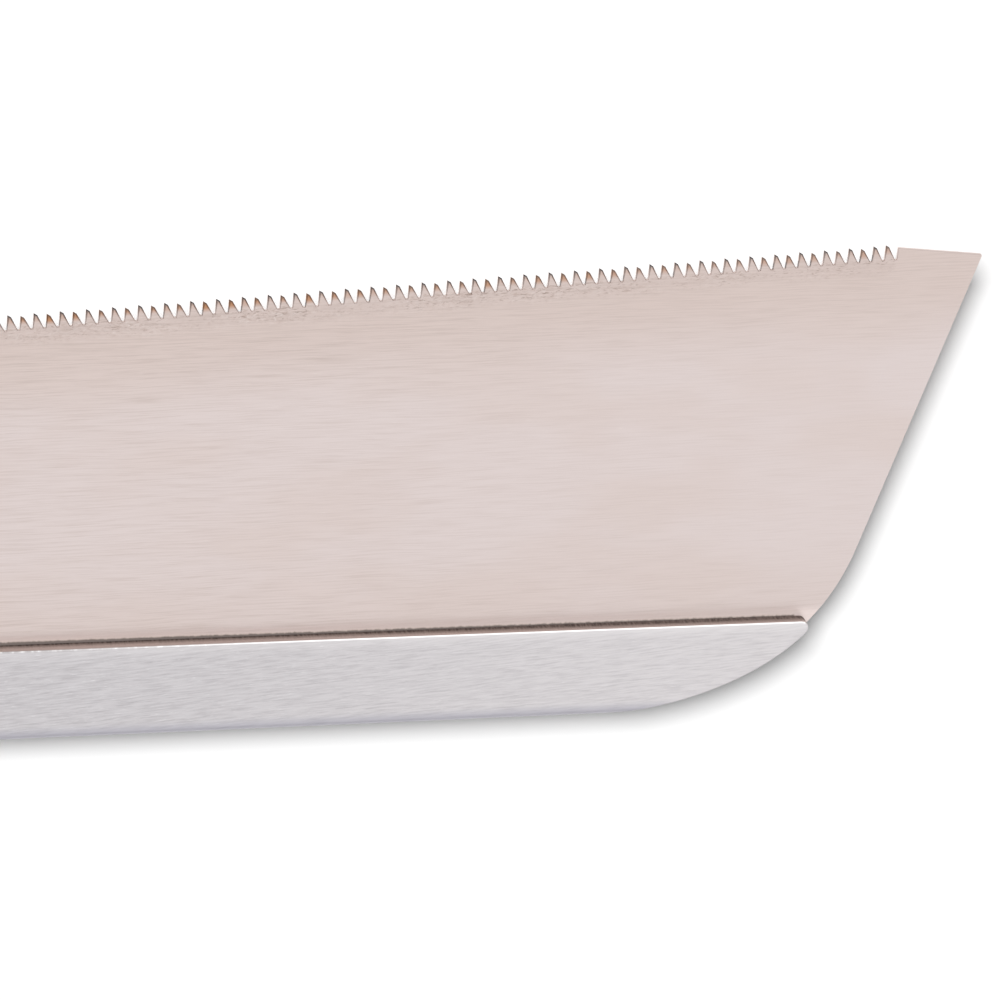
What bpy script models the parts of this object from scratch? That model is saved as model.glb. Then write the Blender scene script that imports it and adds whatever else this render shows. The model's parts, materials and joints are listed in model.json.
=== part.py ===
"""Folding dozuki saw: a toothed plate in a folded steel back, hinged in a slotted wooden handle.

The saw lies open on its side. +X points to the toe, +Y to the teeth and +Z out of the upper side.
Every shape is drawn about the pivot, on the blade's middle plane, and three empties there carry them.
"""
import math

import bmesh
import bpy

# Teeth: a pull saw, so the steep face of each tooth looks back to the handle
TOOTH_PITCH = 0.0015
TOOTH_COUNT = 160
TOOTH_DEPTH = 0.0019
TIP_LEAN = 0.00022
FACET_LENGTH = 0.00043
FACET_DROP = 0.0003
GULLET_WIDTH = 0.00025
TOOTH_LINE_ANGLE = math.radians(3.21)

# Saw plate
PLATE_THICKNESS = 0.0004
FIRST_TOOTH_REACH = 0.024
TOE_WIDTH = 0.0609
NOSE_LENGTH = 0.0105
NOSE_ANGLE = math.radians(6.0)
NOSE_DROP = 0.0004
TOE_CORNER_RADIUS = 0.0002
FRONT_EDGE_ANGLE = math.radians(16.15)
FRONT_EDGE_LENGTH = 0.0403
TOE_CURVE_RUN = 0.0479

# Folded spine, whose heel widens into the two cheeks of the tang
SPINE_SHEET = 0.0016
SPINE_HEIGHT = 0.0120
PLATE_CLEARANCE = 0.0001
FOLD_CLEARANCE = 0.0003
CHEEK_REACH = 0.046
CHEEK_FILLET = 0.012
CREST_START = 0.009
CREST_TO_TEETH = 0.004
CREST_FILLET = 0.002
TANG_RADIUS = 0.014
PLATE_INSET = 0.001
SHOULDER_SETBACK = 0.008
HEEL_RIVET_RADIUS = 0.0016
HEEL_RIVET_REACH = 0.018
HEEL_RIVET_STEP = 0.012
HEEL_RIVET_EDGE = 0.0085

# Pivot stack
BOLT_RADIUS = 0.003
BOLT_HEAD_FLATS = 0.010
BOLT_HEAD_HEIGHT = 0.0038
BOLT_END_REACH = 0.0015
BUSH_WALL = 0.002
BUSH_SHORTFALL = 0.0001
FRICTION_WASHER_RADIUS = 0.0118
FRICTION_WASHER_THICKNESS = 0.0006
NUT_WASHER_RADIUS = 0.009
NUT_WASHER_THICKNESS = 0.0012
SPRING_WASHER_RADIUS = 0.0066
SPRING_WASHER_THICKNESS = 0.0010

# Wing nut
NUT_BASE_RADIUS = 0.0062
NUT_TOP_RADIUS = 0.0050
NUT_HEIGHT = 0.0075
WING_THICKNESS = 0.0028
WING_FOOT = 0.0010
WING_LOBE_RADIUS = 0.0040
WING_LOBE_REACH = 0.0110
WING_LOBE_HEIGHT = 0.0085
WING_LOBE_START = math.radians(-60)
WING_LOBE_END = math.radians(150)

# Handle
LINER_THICKNESS = 0.0008
SCALE_THICKNESS = 0.0080
SPACER_DEPTH = 0.0080
TOOTH_GUARD = 0.0018
FRONT_REACH = 0.017
BELLY_FRONT = 0.0140
BELLY_GRIP = 0.0080
BELLY_BUTT = 0.0135
BOLSTER_OVERHANG = 0.0018
GRIP_EASE = 0.090
BUTT_EASE = 0.100
FRONT_BACK_RADIUS = 0.006
FRONT_BELLY_RADIUS = 0.011
BUTT_RADIUS = 0.009
EDGE_ROUND = 0.0035
STOP_BLOCK_LENGTH = 0.024
STOP_PAD_OVERRUN = 0.0017
TOE_ROOM = 0.0025
BUTT_BLOCK_LENGTH = 0.0145
PIN_RADIUS = 0.0020
PIN_RECESS = 0.0004
BACK_PIN_COUNT = 3
EYE_RADIUS = 0.0045
EYE_WALL = 0.0035
EYE_REACH = 0.0060

# Clearances
FIT = 0.0001
RUN = 0.00005
SEAT = 0.0001
STOP_GAP = 0.0002

# Facets
ROUND_SIDES = 32
PIN_SIDES = 20
CORNER_STEPS = 5
TOE_STEPS = 16
RIM_STEPS = 4
BELLY_STEP = 0.012
WELD_DISTANCE = 1e-7
FLAT_ANGLE = math.radians(0.1)
SHARP_ANGLE = math.radians(35)

# Sizes that follow
COS_LINE = math.cos(TOOTH_LINE_ANGLE)
TOOTHED_LENGTH = TOOTH_PITCH * TOOTH_COUNT
# Height of the tip line over the blade's back, at the pivot
TIP_RISE = TOE_WIDTH - (FIRST_TOOTH_REACH + TOOTHED_LENGTH * COS_LINE) * math.tan(TOOTH_LINE_ANGLE)
# The back is flush with the handle's, and the folded teeth stay clear of the spacer
BACK_OFFSET = (TIP_RISE * COS_LINE + TOOTH_GUARD + SPACER_DEPTH) / (1 + COS_LINE)
TEETH_OFFSET = (TIP_RISE - BACK_OFFSET) * COS_LINE
SLOT_FLOOR = -TEETH_OFFSET - TOOTH_GUARD
SPINE_HALF = PLATE_THICKNESS / 2 + PLATE_CLEARANCE + SPINE_SHEET
SLOT_HALF = SPINE_HALF + RUN + FRICTION_WASHER_THICKNESS + RUN
LINER_OUTER = SLOT_HALF + LINER_THICKNESS
SCALE_INNER = LINER_OUTER + SEAT
SCALE_OUTER = SCALE_INNER + SCALE_THICKNESS
SPACER_HALF = SLOT_HALF - SEAT
BUSH_RADIUS = BOLT_RADIUS + BUSH_WALL
NUT_WASHER_FOOT = SCALE_OUTER + SEAT
SPRING_WASHER_FOOT = NUT_WASHER_FOOT + NUT_WASHER_THICKNESS + SEAT
NUT_FOOT = SPRING_WASHER_FOOT + SPRING_WASHER_THICKNESS + SEAT
PIN_LINE = -BACK_OFFSET + SPACER_DEPTH / 2
STOP_FRONT = -SHOULDER_SETBACK - STOP_GAP
STOP_REAR = STOP_FRONT - STOP_BLOCK_LENGTH
GRIP_JOINT = STOP_REAR - BOLSTER_OVERHANG
CREST_END = FIRST_TOOTH_REACH - CREST_TO_TEETH
STOP_STEP = -CREST_END - STOP_PAD_OVERRUN


def turned(x, y, angle):
    """The point turned about the pivot."""
    return (x * math.cos(angle) - y * math.sin(angle), x * math.sin(angle) + y * math.cos(angle))


def on_tooth_line(along, below=0.0):
    """The point this far along the tip line from the first tooth, and this far below the line."""
    x, y = turned(along, -below, TOOTH_LINE_ANGLE)
    return (FIRST_TOOTH_REACH + x, tip_line(FIRST_TOOTH_REACH) + y)


def tip_line(x):
    """Height of the tooth tips at x."""
    return TIP_RISE - BACK_OFFSET + x * math.tan(TOOTH_LINE_ANGLE)


def circle(centre, radius, sides=ROUND_SIDES):
    """Corners of a round outline."""
    return arc(centre, radius, 0, 2 * math.pi * (1 - 1 / sides), sides - 1)


def arc(centre, radius, start, end, steps):
    """Points on an arc, from the start angle to the end angle."""
    angles = [start + (end - start) * i / steps for i in range(steps + 1)]
    return [(centre[0] + radius * math.cos(a), centre[1] + radius * math.sin(a)) for a in angles]


def hole(radius, sides=ROUND_SIDES, clearance=FIT):
    """Radius of a faceted hole whose flats clear a round pin of this radius."""
    return radius / math.cos(math.pi / sides) + clearance


def filleted(before, corner, after, radius, steps=CORNER_STEPS):
    """The arc that rounds the corner between two straight edges."""
    to_before = (before[0] - corner[0], before[1] - corner[1])
    to_after = (after[0] - corner[0], after[1] - corner[1])
    first = math.atan2(to_before[1], to_before[0])
    turn = math.atan2(to_after[1], to_after[0]) - first
    turn = (turn + math.pi) % (2 * math.pi) - math.pi
    half = turn / 2
    reach = radius / math.sin(abs(half))
    centre = (corner[0] + reach * math.cos(first + half), corner[1] + reach * math.sin(first + half))
    side = math.copysign(math.pi / 2, turn)
    return arc(centre, radius, first - side, first + turn + side - math.copysign(2 * math.pi, turn), steps)


# Toe of the blade, shared by the plate and the spine
NOSE_START = on_tooth_line(TOOTHED_LENGTH + TIP_LEAN, NOSE_DROP)
TOE_CORNER = (
    NOSE_START[0] + NOSE_LENGTH * math.cos(NOSE_ANGLE),
    NOSE_START[1] - NOSE_LENGTH * math.sin(NOSE_ANGLE),
)
TOE_REACH = math.hypot(*TOE_CORNER)


# The toe curve is a parabola whose two tangents are the front edge and the blade's back
CURVE_RISE = TOE_CORNER[1] + BACK_OFFSET - FRONT_EDGE_LENGTH * math.cos(FRONT_EDGE_ANGLE)
CURVE_START = TOE_CORNER[0] - FRONT_EDGE_LENGTH * math.sin(FRONT_EDGE_ANGLE)
FRONT_FOOT = TOE_CORNER[0] - (TOE_CORNER[1] + BACK_OFFSET) * math.tan(FRONT_EDGE_ANGLE)


def toe_curve(low, high):
    """Points of the toe curve between two heights over the blade's back, from the lower one up."""
    first, last = (math.sqrt(max(height, 0.0) / CURVE_RISE) for height in (low, high))
    points = []
    for i in range(TOE_STEPS + 1):
        share = min(first + (last - first) * i / TOE_STEPS, 1.0)
        x = share ** 2 * CURVE_START + 2 * share * (1 - share) * FRONT_FOOT
        x += (1 - share) ** 2 * (TOE_CORNER[0] - TOE_CURVE_RUN)
        points.append((x, share ** 2 * CURVE_RISE - BACK_OFFSET))
    return points


def tooth_points():
    """Corners of the toothed edge, from the toe back to the heel: the gullet's two, facet end and tip."""
    points = [on_tooth_line(TOOTHED_LENGTH, TOOTH_DEPTH)]
    for tooth in reversed(range(TOOTH_COUNT)):
        start = tooth * TOOTH_PITCH
        points.append(on_tooth_line(start + TOOTH_PITCH - GULLET_WIDTH, TOOTH_DEPTH))
        points.append(on_tooth_line(start + TIP_LEAN + FACET_LENGTH, FACET_DROP))
        points.append(on_tooth_line(start + TIP_LEAN))
        points.append(on_tooth_line(start, TOOTH_DEPTH))
    return points


def tang_arc(corner, radius):
    """The tang's round end: from the tangent through the heel's corner, round to the stop shoulder."""
    start = math.atan2(corner[1], corner[0]) + math.acos(radius / math.hypot(*corner))
    shoulder = SHOULDER_SETBACK - (TANG_RADIUS - radius)
    end = 2 * math.pi - math.acos(-shoulder / radius)
    return arc((0, 0), radius, start, end, ROUND_SIDES // 2), shoulder


def plate_outline():
    """The saw plate: back edge inside the fold, toe curve, front edge, nose, teeth, heel and tang."""
    bottom = SPINE_SHEET + FOLD_CLEARANCE
    curve = toe_curve(bottom, CURVE_RISE)
    corner = filleted(curve[-1], TOE_CORNER, NOSE_START, TOE_CORNER_RADIUS)
    heel = (CREST_START + PLATE_INSET, tip_line(CREST_START + PLATE_INSET) - TOOTH_DEPTH)
    tang, shoulder = tang_arc(heel, TANG_RADIUS - PLATE_INSET)
    start = (-shoulder, bottom - BACK_OFFSET)
    return [start] + curve + corner + [NOSE_START] + tooth_points() + [heel] + tang


def spine_outline():
    """The folded spine and its cheeks: back, toe curve, lip, cheek front, crest and tang."""
    curve = toe_curve(0.0, SPINE_HEIGHT)
    lip = SPINE_HEIGHT - BACK_OFFSET
    foot = (CHEEK_REACH, lip)
    crest_end = (CREST_END, tip_line(CREST_END))
    crest_start = (CREST_START, tip_line(CREST_START))
    tang, shoulder = tang_arc(crest_start, TANG_RADIUS)
    outline = [(-shoulder, -BACK_OFFSET)] + curve
    outline += filleted(curve[-1], foot, crest_end, CHEEK_FILLET)
    outline += filleted(foot, crest_end, crest_start, CREST_FILLET)
    return outline + filleted(crest_end, crest_start, tang[0], CREST_FILLET) + tang


def heel_rivet_places():
    """Centres of the rivets through the cheeks: one near the crest, one near the fold, one ahead of them."""
    high = tip_line(HEEL_RIVET_REACH) - HEEL_RIVET_EDGE
    low = HEEL_RIVET_EDGE - BACK_OFFSET
    forward = HEEL_RIVET_REACH + HEEL_RIVET_STEP
    return [(HEEL_RIVET_REACH, high), (forward, (low + high) / 2), (HEEL_RIVET_REACH, low)]


def spine_section():
    """The sheet folded like a hairpin, seen along the blade: height over the pivot, then side."""
    top = tip_line(CREST_END) + CREST_FILLET
    gap = PLATE_THICKNESS / 2 + PLATE_CLEARANCE
    floor = SPINE_SHEET - BACK_OFFSET
    fold = arc((SPINE_HALF - BACK_OFFSET, 0), SPINE_HALF, math.pi / 2, 3 * math.pi / 2, ROUND_SIDES // 2)
    inside = [(top, -gap), (floor, -gap), (floor, gap), (top, gap)]
    return [(top, SPINE_HALF)] + fold + [(top, -SPINE_HALF)] + inside


HANDLE_REAR = TOE_REACH + TOE_ROOM + BUTT_BLOCK_LENGTH


def eased(share):
    """Smooth step from 0 to 1."""
    share = min(max(share, 0.0), 1.0)
    return share * share * (3 - 2 * share)


def belly(x):
    """Height of the handle's belly: full at the bolster, slim in the grip, full again at the butt."""
    to_grip = eased((GRIP_JOINT - x) / GRIP_EASE)
    to_butt = eased((BUTT_EASE - HANDLE_REAR - x) / BUTT_EASE)
    return BELLY_FRONT + (BELLY_GRIP - BELLY_FRONT) * to_grip + (BELLY_BUTT - BELLY_GRIP) * to_butt


def belly_points(start, end):
    """Points along the belly from the front towards the butt."""
    steps = max(1, round((start - end) / BELLY_STEP))
    places = [start + (end - start) * i / steps for i in range(steps + 1)]
    return [(x, belly(x)) for x in places]


def handle_outline(front=None, rear=None):
    """Outline of the handle, or of its part between two joint lines."""
    back = -BACK_OFFSET
    butt_low = (-HANDLE_REAR, back)
    butt_high = (-HANDLE_REAR, belly(-HANDLE_REAR))
    nose_low = (FRONT_REACH, back)
    nose_high = (FRONT_REACH, BELLY_FRONT)
    outline = []
    if rear is None:
        outline += filleted(butt_high, butt_low, nose_low, BUTT_RADIUS)
    else:
        outline.append((rear, back))
    if front is None:
        outline += filleted(butt_low, nose_low, nose_high, FRONT_BACK_RADIUS)
        outline += filleted(nose_low, nose_high, (0, BELLY_FRONT), FRONT_BELLY_RADIUS)
        top_start = FRONT_REACH - 2 * FRONT_BELLY_RADIUS
    else:
        outline.append((front, back))
        top_start = front
    if rear is None:
        outline += belly_points(top_start, BUTT_RADIUS - HANDLE_REAR)
        outline += filleted(outline[-1], butt_high, butt_low, BUTT_RADIUS)[1:]
    else:
        outline += belly_points(top_start, rear)
    return outline


def pin_places():
    """Centre of each through pin, by name."""
    places = {}
    for i in range(2):
        places[f"block_pin_{i + 1}"] = STOP_FRONT - STOP_BLOCK_LENGTH * (1 + 2 * i) / 4
    spacer_start, spacer_end = spacer_span()
    for i in range(BACK_PIN_COUNT):
        share = (i + 0.5) / BACK_PIN_COUNT
        places[f"back_pin_{i + 1}"] = spacer_start + (spacer_end - spacer_start) * share
    pins = {name: (x, PIN_LINE) for name, x in places.items()}
    low, high = butt_block_span()
    pins["butt_pin"] = (BUTT_BLOCK_LENGTH / 2 - HANDLE_REAR, (low + high) / 2)
    return pins


def spacer_span():
    """Front and rear end of the back spacer."""
    return STOP_REAR - SEAT, BUTT_BLOCK_LENGTH + SEAT - HANDLE_REAR


def butt_block_span():
    """Lowest and highest edge of the butt block, inside the handle's rounded butt."""
    return BUTT_RADIUS - BACK_OFFSET, belly(BUTT_BLOCK_LENGTH - HANDLE_REAR) - BUTT_RADIUS / 2


def pin_holes(front, rear):
    """Outlines of the pin holes between two places along the handle."""
    radius = hole(PIN_RADIUS, PIN_SIDES)
    return [circle(p, radius, PIN_SIDES) for p in pin_places().values() if rear < p[0] < front]


def new_collection(name):
    """An empty collection in the scene."""
    collection = bpy.data.collections.new(name)
    bpy.context.scene.collection.children.link(collection)
    return collection


def material(name, colour, roughness, metallic):
    """A plain finish."""
    finish = bpy.data.materials.new(name)
    finish.use_nodes = True
    shader = finish.node_tree.nodes["Principled BSDF"]
    shader.inputs["Base Color"].default_value = (*colour, 1.0)
    shader.inputs["Roughness"].default_value = roughness
    shader.inputs["Metallic"].default_value = metallic
    return finish


def add(name, data, height=0.0):
    """A new object at the pivot, this far above the blade's middle plane."""
    piece = bpy.data.objects.new(name, data)
    piece.location.z = height
    bpy.context.scene.collection.objects.link(piece)
    return piece


def flat(name, outlines, low, high):
    """A plate between two heights: the first outline filled, the others cut out of it."""
    curve = bpy.data.curves.new(name, "CURVE")
    curve.dimensions = "2D"
    curve.fill_mode = "BOTH"
    curve.extrude = (high - low) / 2
    for outline in outlines:
        spline = curve.splines.new("POLY")
        spline.points.add(len(outline) - 1)
        for point, place in zip(spline.points, outline):
            point.co = (*place, 0.0, 1.0)
        spline.use_cyclic_u = True
    return add(name, curve, (low + high) / 2)


def solid(curve_piece):
    """The same piece as a welded mesh, which can be bevelled and cut."""
    bpy.context.view_layer.update()
    name, height = curve_piece.name, curve_piece.location.z
    graph = bpy.context.evaluated_depsgraph_get()
    mesh = bpy.data.meshes.new_from_object(curve_piece.evaluated_get(graph))
    bpy.data.objects.remove(curve_piece)
    edit = bmesh.new()
    edit.from_mesh(mesh)
    bmesh.ops.remove_doubles(edit, verts=edit.verts, dist=WELD_DISTANCE)
    edit.to_mesh(mesh)
    edit.free()
    return add(name, mesh, height)


def rod(name, radius, low, high, place=(0.0, 0.0), sides=ROUND_SIDES, top_radius=None):
    """A round bar, or a cone, standing along Z."""
    mesh = bpy.data.meshes.new(name)
    edit = bmesh.new()
    bmesh.ops.create_cone(edit, cap_ends=True, segments=sides, radius1=radius,
                          radius2=radius if top_radius is None else top_radius, depth=high - low)
    bmesh.ops.translate(edit, verts=edit.verts, vec=(*place, 0.0))
    edit.to_mesh(mesh)
    edit.free()
    return add(name, mesh, (low + high) / 2)


def boolean(piece, tool, operation, cutters):
    """Cut the piece with the tool, or join them, and put the tool away."""
    step = piece.modifiers.new(tool.name, "BOOLEAN")
    step.operation = operation
    step.object = tool
    tool.hide_render = True
    tool.display_type = "WIRE"
    bpy.context.scene.collection.objects.unlink(tool)
    cutters.objects.link(tool)


def round_rim(piece, joint, outer):
    """Round the rim of a grip's outer face, except along the joint between bolster and scale."""
    edit = bmesh.new()
    edit.from_mesh(piece.data)
    bmesh.ops.dissolve_limit(edit, angle_limit=FLAT_ANGLE, verts=edit.verts, edges=edit.edges)
    weights = edit.edges.layers.float.new("bevel_weight_edge")
    for edge in edit.edges:
        ends = [v.co for v in edge.verts]
        on_face = all(abs(p.z - outer) < SEAT for p in ends)
        on_joint = all(abs(p.x - joint) < SEAT for p in ends)
        edge[weights] = 1.0 if on_face and not on_joint else 0.0
    edit.to_mesh(piece.data)
    edit.free()
    bevel = piece.modifiers.new("rounded rim", "BEVEL")
    bevel.limit_method = "WEIGHT"
    bevel.width = EDGE_ROUND
    bevel.segments = RIM_STEPS
    bevel.use_clamp_overlap = False


def make_blade(cutters):
    """Saw plate, folded spine, heel rivets and pivot bush."""
    rivets = heel_rivet_places()
    rivet_holes = [circle(p, hole(HEEL_RIVET_RADIUS, PIN_SIDES), PIN_SIDES) for p in rivets]
    bush_hole = circle((0, 0), hole(BUSH_RADIUS))
    half_plate = PLATE_THICKNESS / 2
    plate = flat("saw_plate", [plate_outline(), bush_hole] + rivet_holes, -half_plate, half_plate)
    spine = solid(flat("folded_spine", [spine_outline(), bush_hole] + rivet_holes, -SPINE_HALF, SPINE_HALF))
    section = solid(flat("spine_section", [spine_section()], -TOE_REACH, 2 * TOE_REACH))
    section.rotation_euler = (math.pi / 2, 0, math.pi / 2)
    section.location = (section.location.z, 0, 0)
    boolean(spine, section, "INTERSECT", cutters)
    pieces = {plate: "plate_steel", spine: "spine_steel"}
    for i, place in enumerate(rivets):
        rivet = rod(f"heel_rivet_{i + 1}", HEEL_RIVET_RADIUS, -SPINE_HALF, SPINE_HALF, place, PIN_SIDES)
        pieces[rivet] = "brass"
    bush_half = SPINE_HALF - BUSH_SHORTFALL
    bush_outline = [circle((0, 0), BUSH_RADIUS), circle((0, 0), hole(BOLT_RADIUS))]
    pieces[flat("pivot_bush", bush_outline, -bush_half, bush_half)] = "bronze"
    return pieces


def make_grip(side, sign, cutters):
    """Liner, bolster and scale of one side of the handle."""
    joint = GRIP_JOINT
    bolt_hole = circle((0, 0), hole(BOLT_RADIUS))
    everywhere = (FRONT_REACH, -HANDLE_REAR)
    levels = sorted((sign * SLOT_HALF, sign * LINER_OUTER))
    liner = flat(f"liner_{side}", [handle_outline(), bolt_hole] + pin_holes(*everywhere), *levels)
    levels = sorted((sign * SCALE_INNER, sign * SCALE_OUTER))
    outer = sign * SCALE_THICKNESS / 2
    bolster = solid(flat(f"bolster_{side}", [handle_outline(rear=joint)], *levels))
    round_rim(bolster, joint, outer)
    scale = solid(flat(f"scale_{side}", [handle_outline(front=joint - SEAT)], *levels))
    round_rim(scale, joint - SEAT, outer)
    beyond = SCALE_OUTER + SEAT
    drill = rod(f"bolster_{side}_bolt_cutter", hole(BOLT_RADIUS), -beyond, beyond)
    boolean(bolster, drill, "DIFFERENCE", cutters)
    pin_hole = hole(PIN_RADIUS, PIN_SIDES)
    for name, place in pin_places().items():
        target = bolster if place[0] > joint else scale
        drill = rod(f"{target.name}_{name}_cutter", pin_hole, -beyond, beyond, place, PIN_SIDES)
        boolean(target, drill, "DIFFERENCE", cutters)
    return {liner: "liner_steel", bolster: "light_metal", scale: "hardwood"}


def hexagon(flats):
    """Corners of a hexagon of this width across its flats."""
    return circle((0, 0), flats / 2 / math.cos(math.pi / 6), 6)


def make_spacers():
    """Stop block, back spacer and butt block, which hold the liners apart, and the pins through them."""
    back = -BACK_OFFSET
    pad = -TEETH_OFFSET - STOP_GAP
    outline = [(STOP_REAR, back), (STOP_FRONT, back), (STOP_FRONT, pad), (STOP_STEP, pad),
               (STOP_STEP, SLOT_FLOOR), (STOP_REAR, SLOT_FLOOR)]
    stop = flat("stop_block", [outline] + pin_holes(STOP_FRONT, STOP_REAR), -SPACER_HALF, SPACER_HALF)
    start, end = spacer_span()
    outline = [(end, back), (start, back), (start, SLOT_FLOOR), (end, SLOT_FLOOR)]
    spacer = flat("back_spacer", [outline] + pin_holes(start, end), -SPACER_HALF, SPACER_HALF)
    butt_front = BUTT_BLOCK_LENGTH - HANDLE_REAR
    low, high = butt_block_span()
    middle = (low + high) / 2
    eye = (-HANDLE_REAR - EYE_REACH, middle)
    eye_outer = EYE_RADIUS + EYE_WALL
    rim = arc(eye, eye_outer, math.pi / 2, 3 * math.pi / 2, ROUND_SIDES // 2)
    shoulder = -HANDLE_REAR + SEAT
    outline = [(butt_front, low), (butt_front, high), (shoulder, high), (shoulder, middle + eye_outer)] + rim
    outline += [(shoulder, middle - eye_outer), (shoulder, low)]
    holes = [circle(eye, EYE_RADIUS)] + pin_holes(butt_front, -HANDLE_REAR)
    butt = flat("butt_block", [outline] + holes, -SPACER_HALF, SPACER_HALF)
    pieces = {stop: "tool_steel", spacer: "light_metal", butt: "light_metal"}
    reach = SCALE_OUTER - PIN_RECESS
    for name, place in pin_places().items():
        pieces[rod(name, PIN_RADIUS, -reach, reach, place, PIN_SIDES)] = "brass"
    return pieces


def ring(name, radius, low, high):
    """A flat washer on the pivot bolt."""
    return flat(name, [circle((0, 0), radius), circle((0, 0), hole(BOLT_RADIUS))], low, high)


def make_pivot(pieces, cutters):
    """Pivot bolt with its head sunk in the lower bolster, friction washers and the washers under the nut."""
    lowest = -SCALE_OUTER + PIN_RECESS
    seat = lowest + BOLT_HEAD_HEIGHT
    bolt = rod("pivot_bolt", BOLT_RADIUS, lowest, NUT_FOOT + NUT_HEIGHT + BOLT_END_REACH)
    head = solid(flat("bolt_head_shape", [hexagon(BOLT_HEAD_FLATS)], lowest, seat))
    boolean(bolt, head, "UNION", cutters)
    pocket = hexagon(BOLT_HEAD_FLATS + 2 * FIT)
    pocket = solid(flat("bolt_head_cutter", [pocket], -SCALE_OUTER - SEAT, seat + SEAT))
    lower_bolster = next(p for p in pieces if p.name == "bolster_lower")
    boolean(lower_bolster, pocket, "DIFFERENCE", cutters)
    washer_low = SPINE_HALF + RUN
    washer_high = washer_low + FRICTION_WASHER_THICKNESS
    return {
        bolt: "bright_steel",
        ring("friction_washer_lower", FRICTION_WASHER_RADIUS, -washer_high, -washer_low): "bronze",
        ring("friction_washer_upper", FRICTION_WASHER_RADIUS, washer_low, washer_high): "bronze",
        ring("nut_washer", NUT_WASHER_RADIUS, NUT_WASHER_FOOT,
             NUT_WASHER_FOOT + NUT_WASHER_THICKNESS): "bright_steel",
        ring("spring_washer", SPRING_WASHER_RADIUS, SPRING_WASHER_FOOT,
             SPRING_WASHER_FOOT + SPRING_WASHER_THICKNESS): "bright_steel",
    }


def wing_outline():
    """Both wings as one outline: a bar through the hub that rises into a round lobe at each end."""
    lobe = (WING_LOBE_REACH, WING_LOBE_HEIGHT)
    right = [(NUT_TOP_RADIUS, WING_FOOT)]
    right += arc(lobe, WING_LOBE_RADIUS, WING_LOBE_START, WING_LOBE_END, ROUND_SIDES // 2)
    right.append((NUT_TOP_RADIUS, NUT_HEIGHT - WING_FOOT))
    return right + [(-x, z) for x, z in reversed(right)]


def make_nut(cutters):
    """The wing nut that clamps the pivot."""
    nut = rod("wing_nut", NUT_BASE_RADIUS, NUT_FOOT, NUT_FOOT + NUT_HEIGHT, top_radius=NUT_TOP_RADIUS)
    wings = solid(flat("wing_shape", [wing_outline()], -WING_THICKNESS / 2, WING_THICKNESS / 2))
    wings.rotation_euler.x = math.pi / 2
    wings.location.z = NUT_FOOT
    boolean(nut, wings, "UNION", cutters)
    bore = rod("wing_nut_bore_cutter", hole(BOLT_RADIUS), 0, NUT_FOOT + 2 * NUT_HEIGHT)
    boolean(nut, bore, "DIFFERENCE", cutters)
    return {nut: "bright_steel"}


FINISHES = {
    "plate_steel": ((0.72, 0.62, 0.59), 0.35, 1.0),
    "spine_steel": ((0.64, 0.61, 0.61), 0.32, 1.0),
    "liner_steel": ((0.58, 0.58, 0.59), 0.35, 1.0),
    "tool_steel": ((0.42, 0.42, 0.44), 0.40, 1.0),
    "bright_steel": ((0.66, 0.66, 0.67), 0.25, 1.0),
    "light_metal": ((0.70, 0.71, 0.72), 0.38, 1.0),
    "brass": ((0.78, 0.57, 0.23), 0.28, 1.0),
    "bronze": ((0.62, 0.42, 0.20), 0.35, 1.0),
    "hardwood": ((0.33, 0.14, 0.06), 0.45, 0.0),
}


def dress(pieces):
    """Give each piece its own material and smooth shading on its round faces."""
    for piece, finish in pieces.items():
        piece.data.materials.append(material(f"{piece.name}_{finish}", *FINISHES[finish]))
        if piece.type == "MESH":
            piece.data.shade_smooth()
            piece.data.set_sharp_from_angle(angle=SHARP_ANGLE)


def carry(name, place, pieces, collection):
    """Hang the pieces on an empty at the pivot."""
    carrier = bpy.data.objects.new(name, None)
    carrier.location = place
    collection.objects.link(carrier)
    for piece in pieces:
        bpy.context.scene.collection.objects.unlink(piece)
        collection.objects.link(piece)
        piece.parent = carrier


def main():
    for old in list(bpy.data.objects):
        bpy.data.objects.remove(old)
    saw = new_collection("folding_dozuki_saw")
    cutters = new_collection("cutters")
    blade = make_blade(cutters)
    handle = {**make_grip("lower", -1, cutters), **make_grip("upper", 1, cutters), **make_spacers()}
    handle.update(make_pivot(handle, cutters))
    nut = make_nut(cutters)
    rear_end = HANDLE_REAR + EYE_REACH + EYE_RADIUS + EYE_WALL
    front_end = max(x for x, _ in plate_outline())
    top = max(y for _, y in plate_outline())
    centre = ((rear_end - front_end) / 2, (BACK_OFFSET - top) / 2, SCALE_OUTER)
    for tool in cutters.objects:
        tool.location = [tool.location[i] + centre[i] for i in range(3)]
    for name, pieces in (("handle_frame", handle), ("blade_pivot", blade), ("nut_axis", nut)):
        dress(pieces)
        carry(name, centre, pieces, saw)
    bpy.context.view_layer.update()


main()
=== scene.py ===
"""Looks of the folding dozuki saw: fine shapes, finishes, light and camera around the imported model.

Every shape is worked out about the blade's pivot, in metres: x to the toe, y to the teeth, z out of the
upper side. A loop is an outline with the material on its left.
"""
import json

import bmesh
import bpy
import numpy as np
from mathutils import Matrix, Vector
from mathutils.geometry import delaunay_2d_cdt


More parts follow.
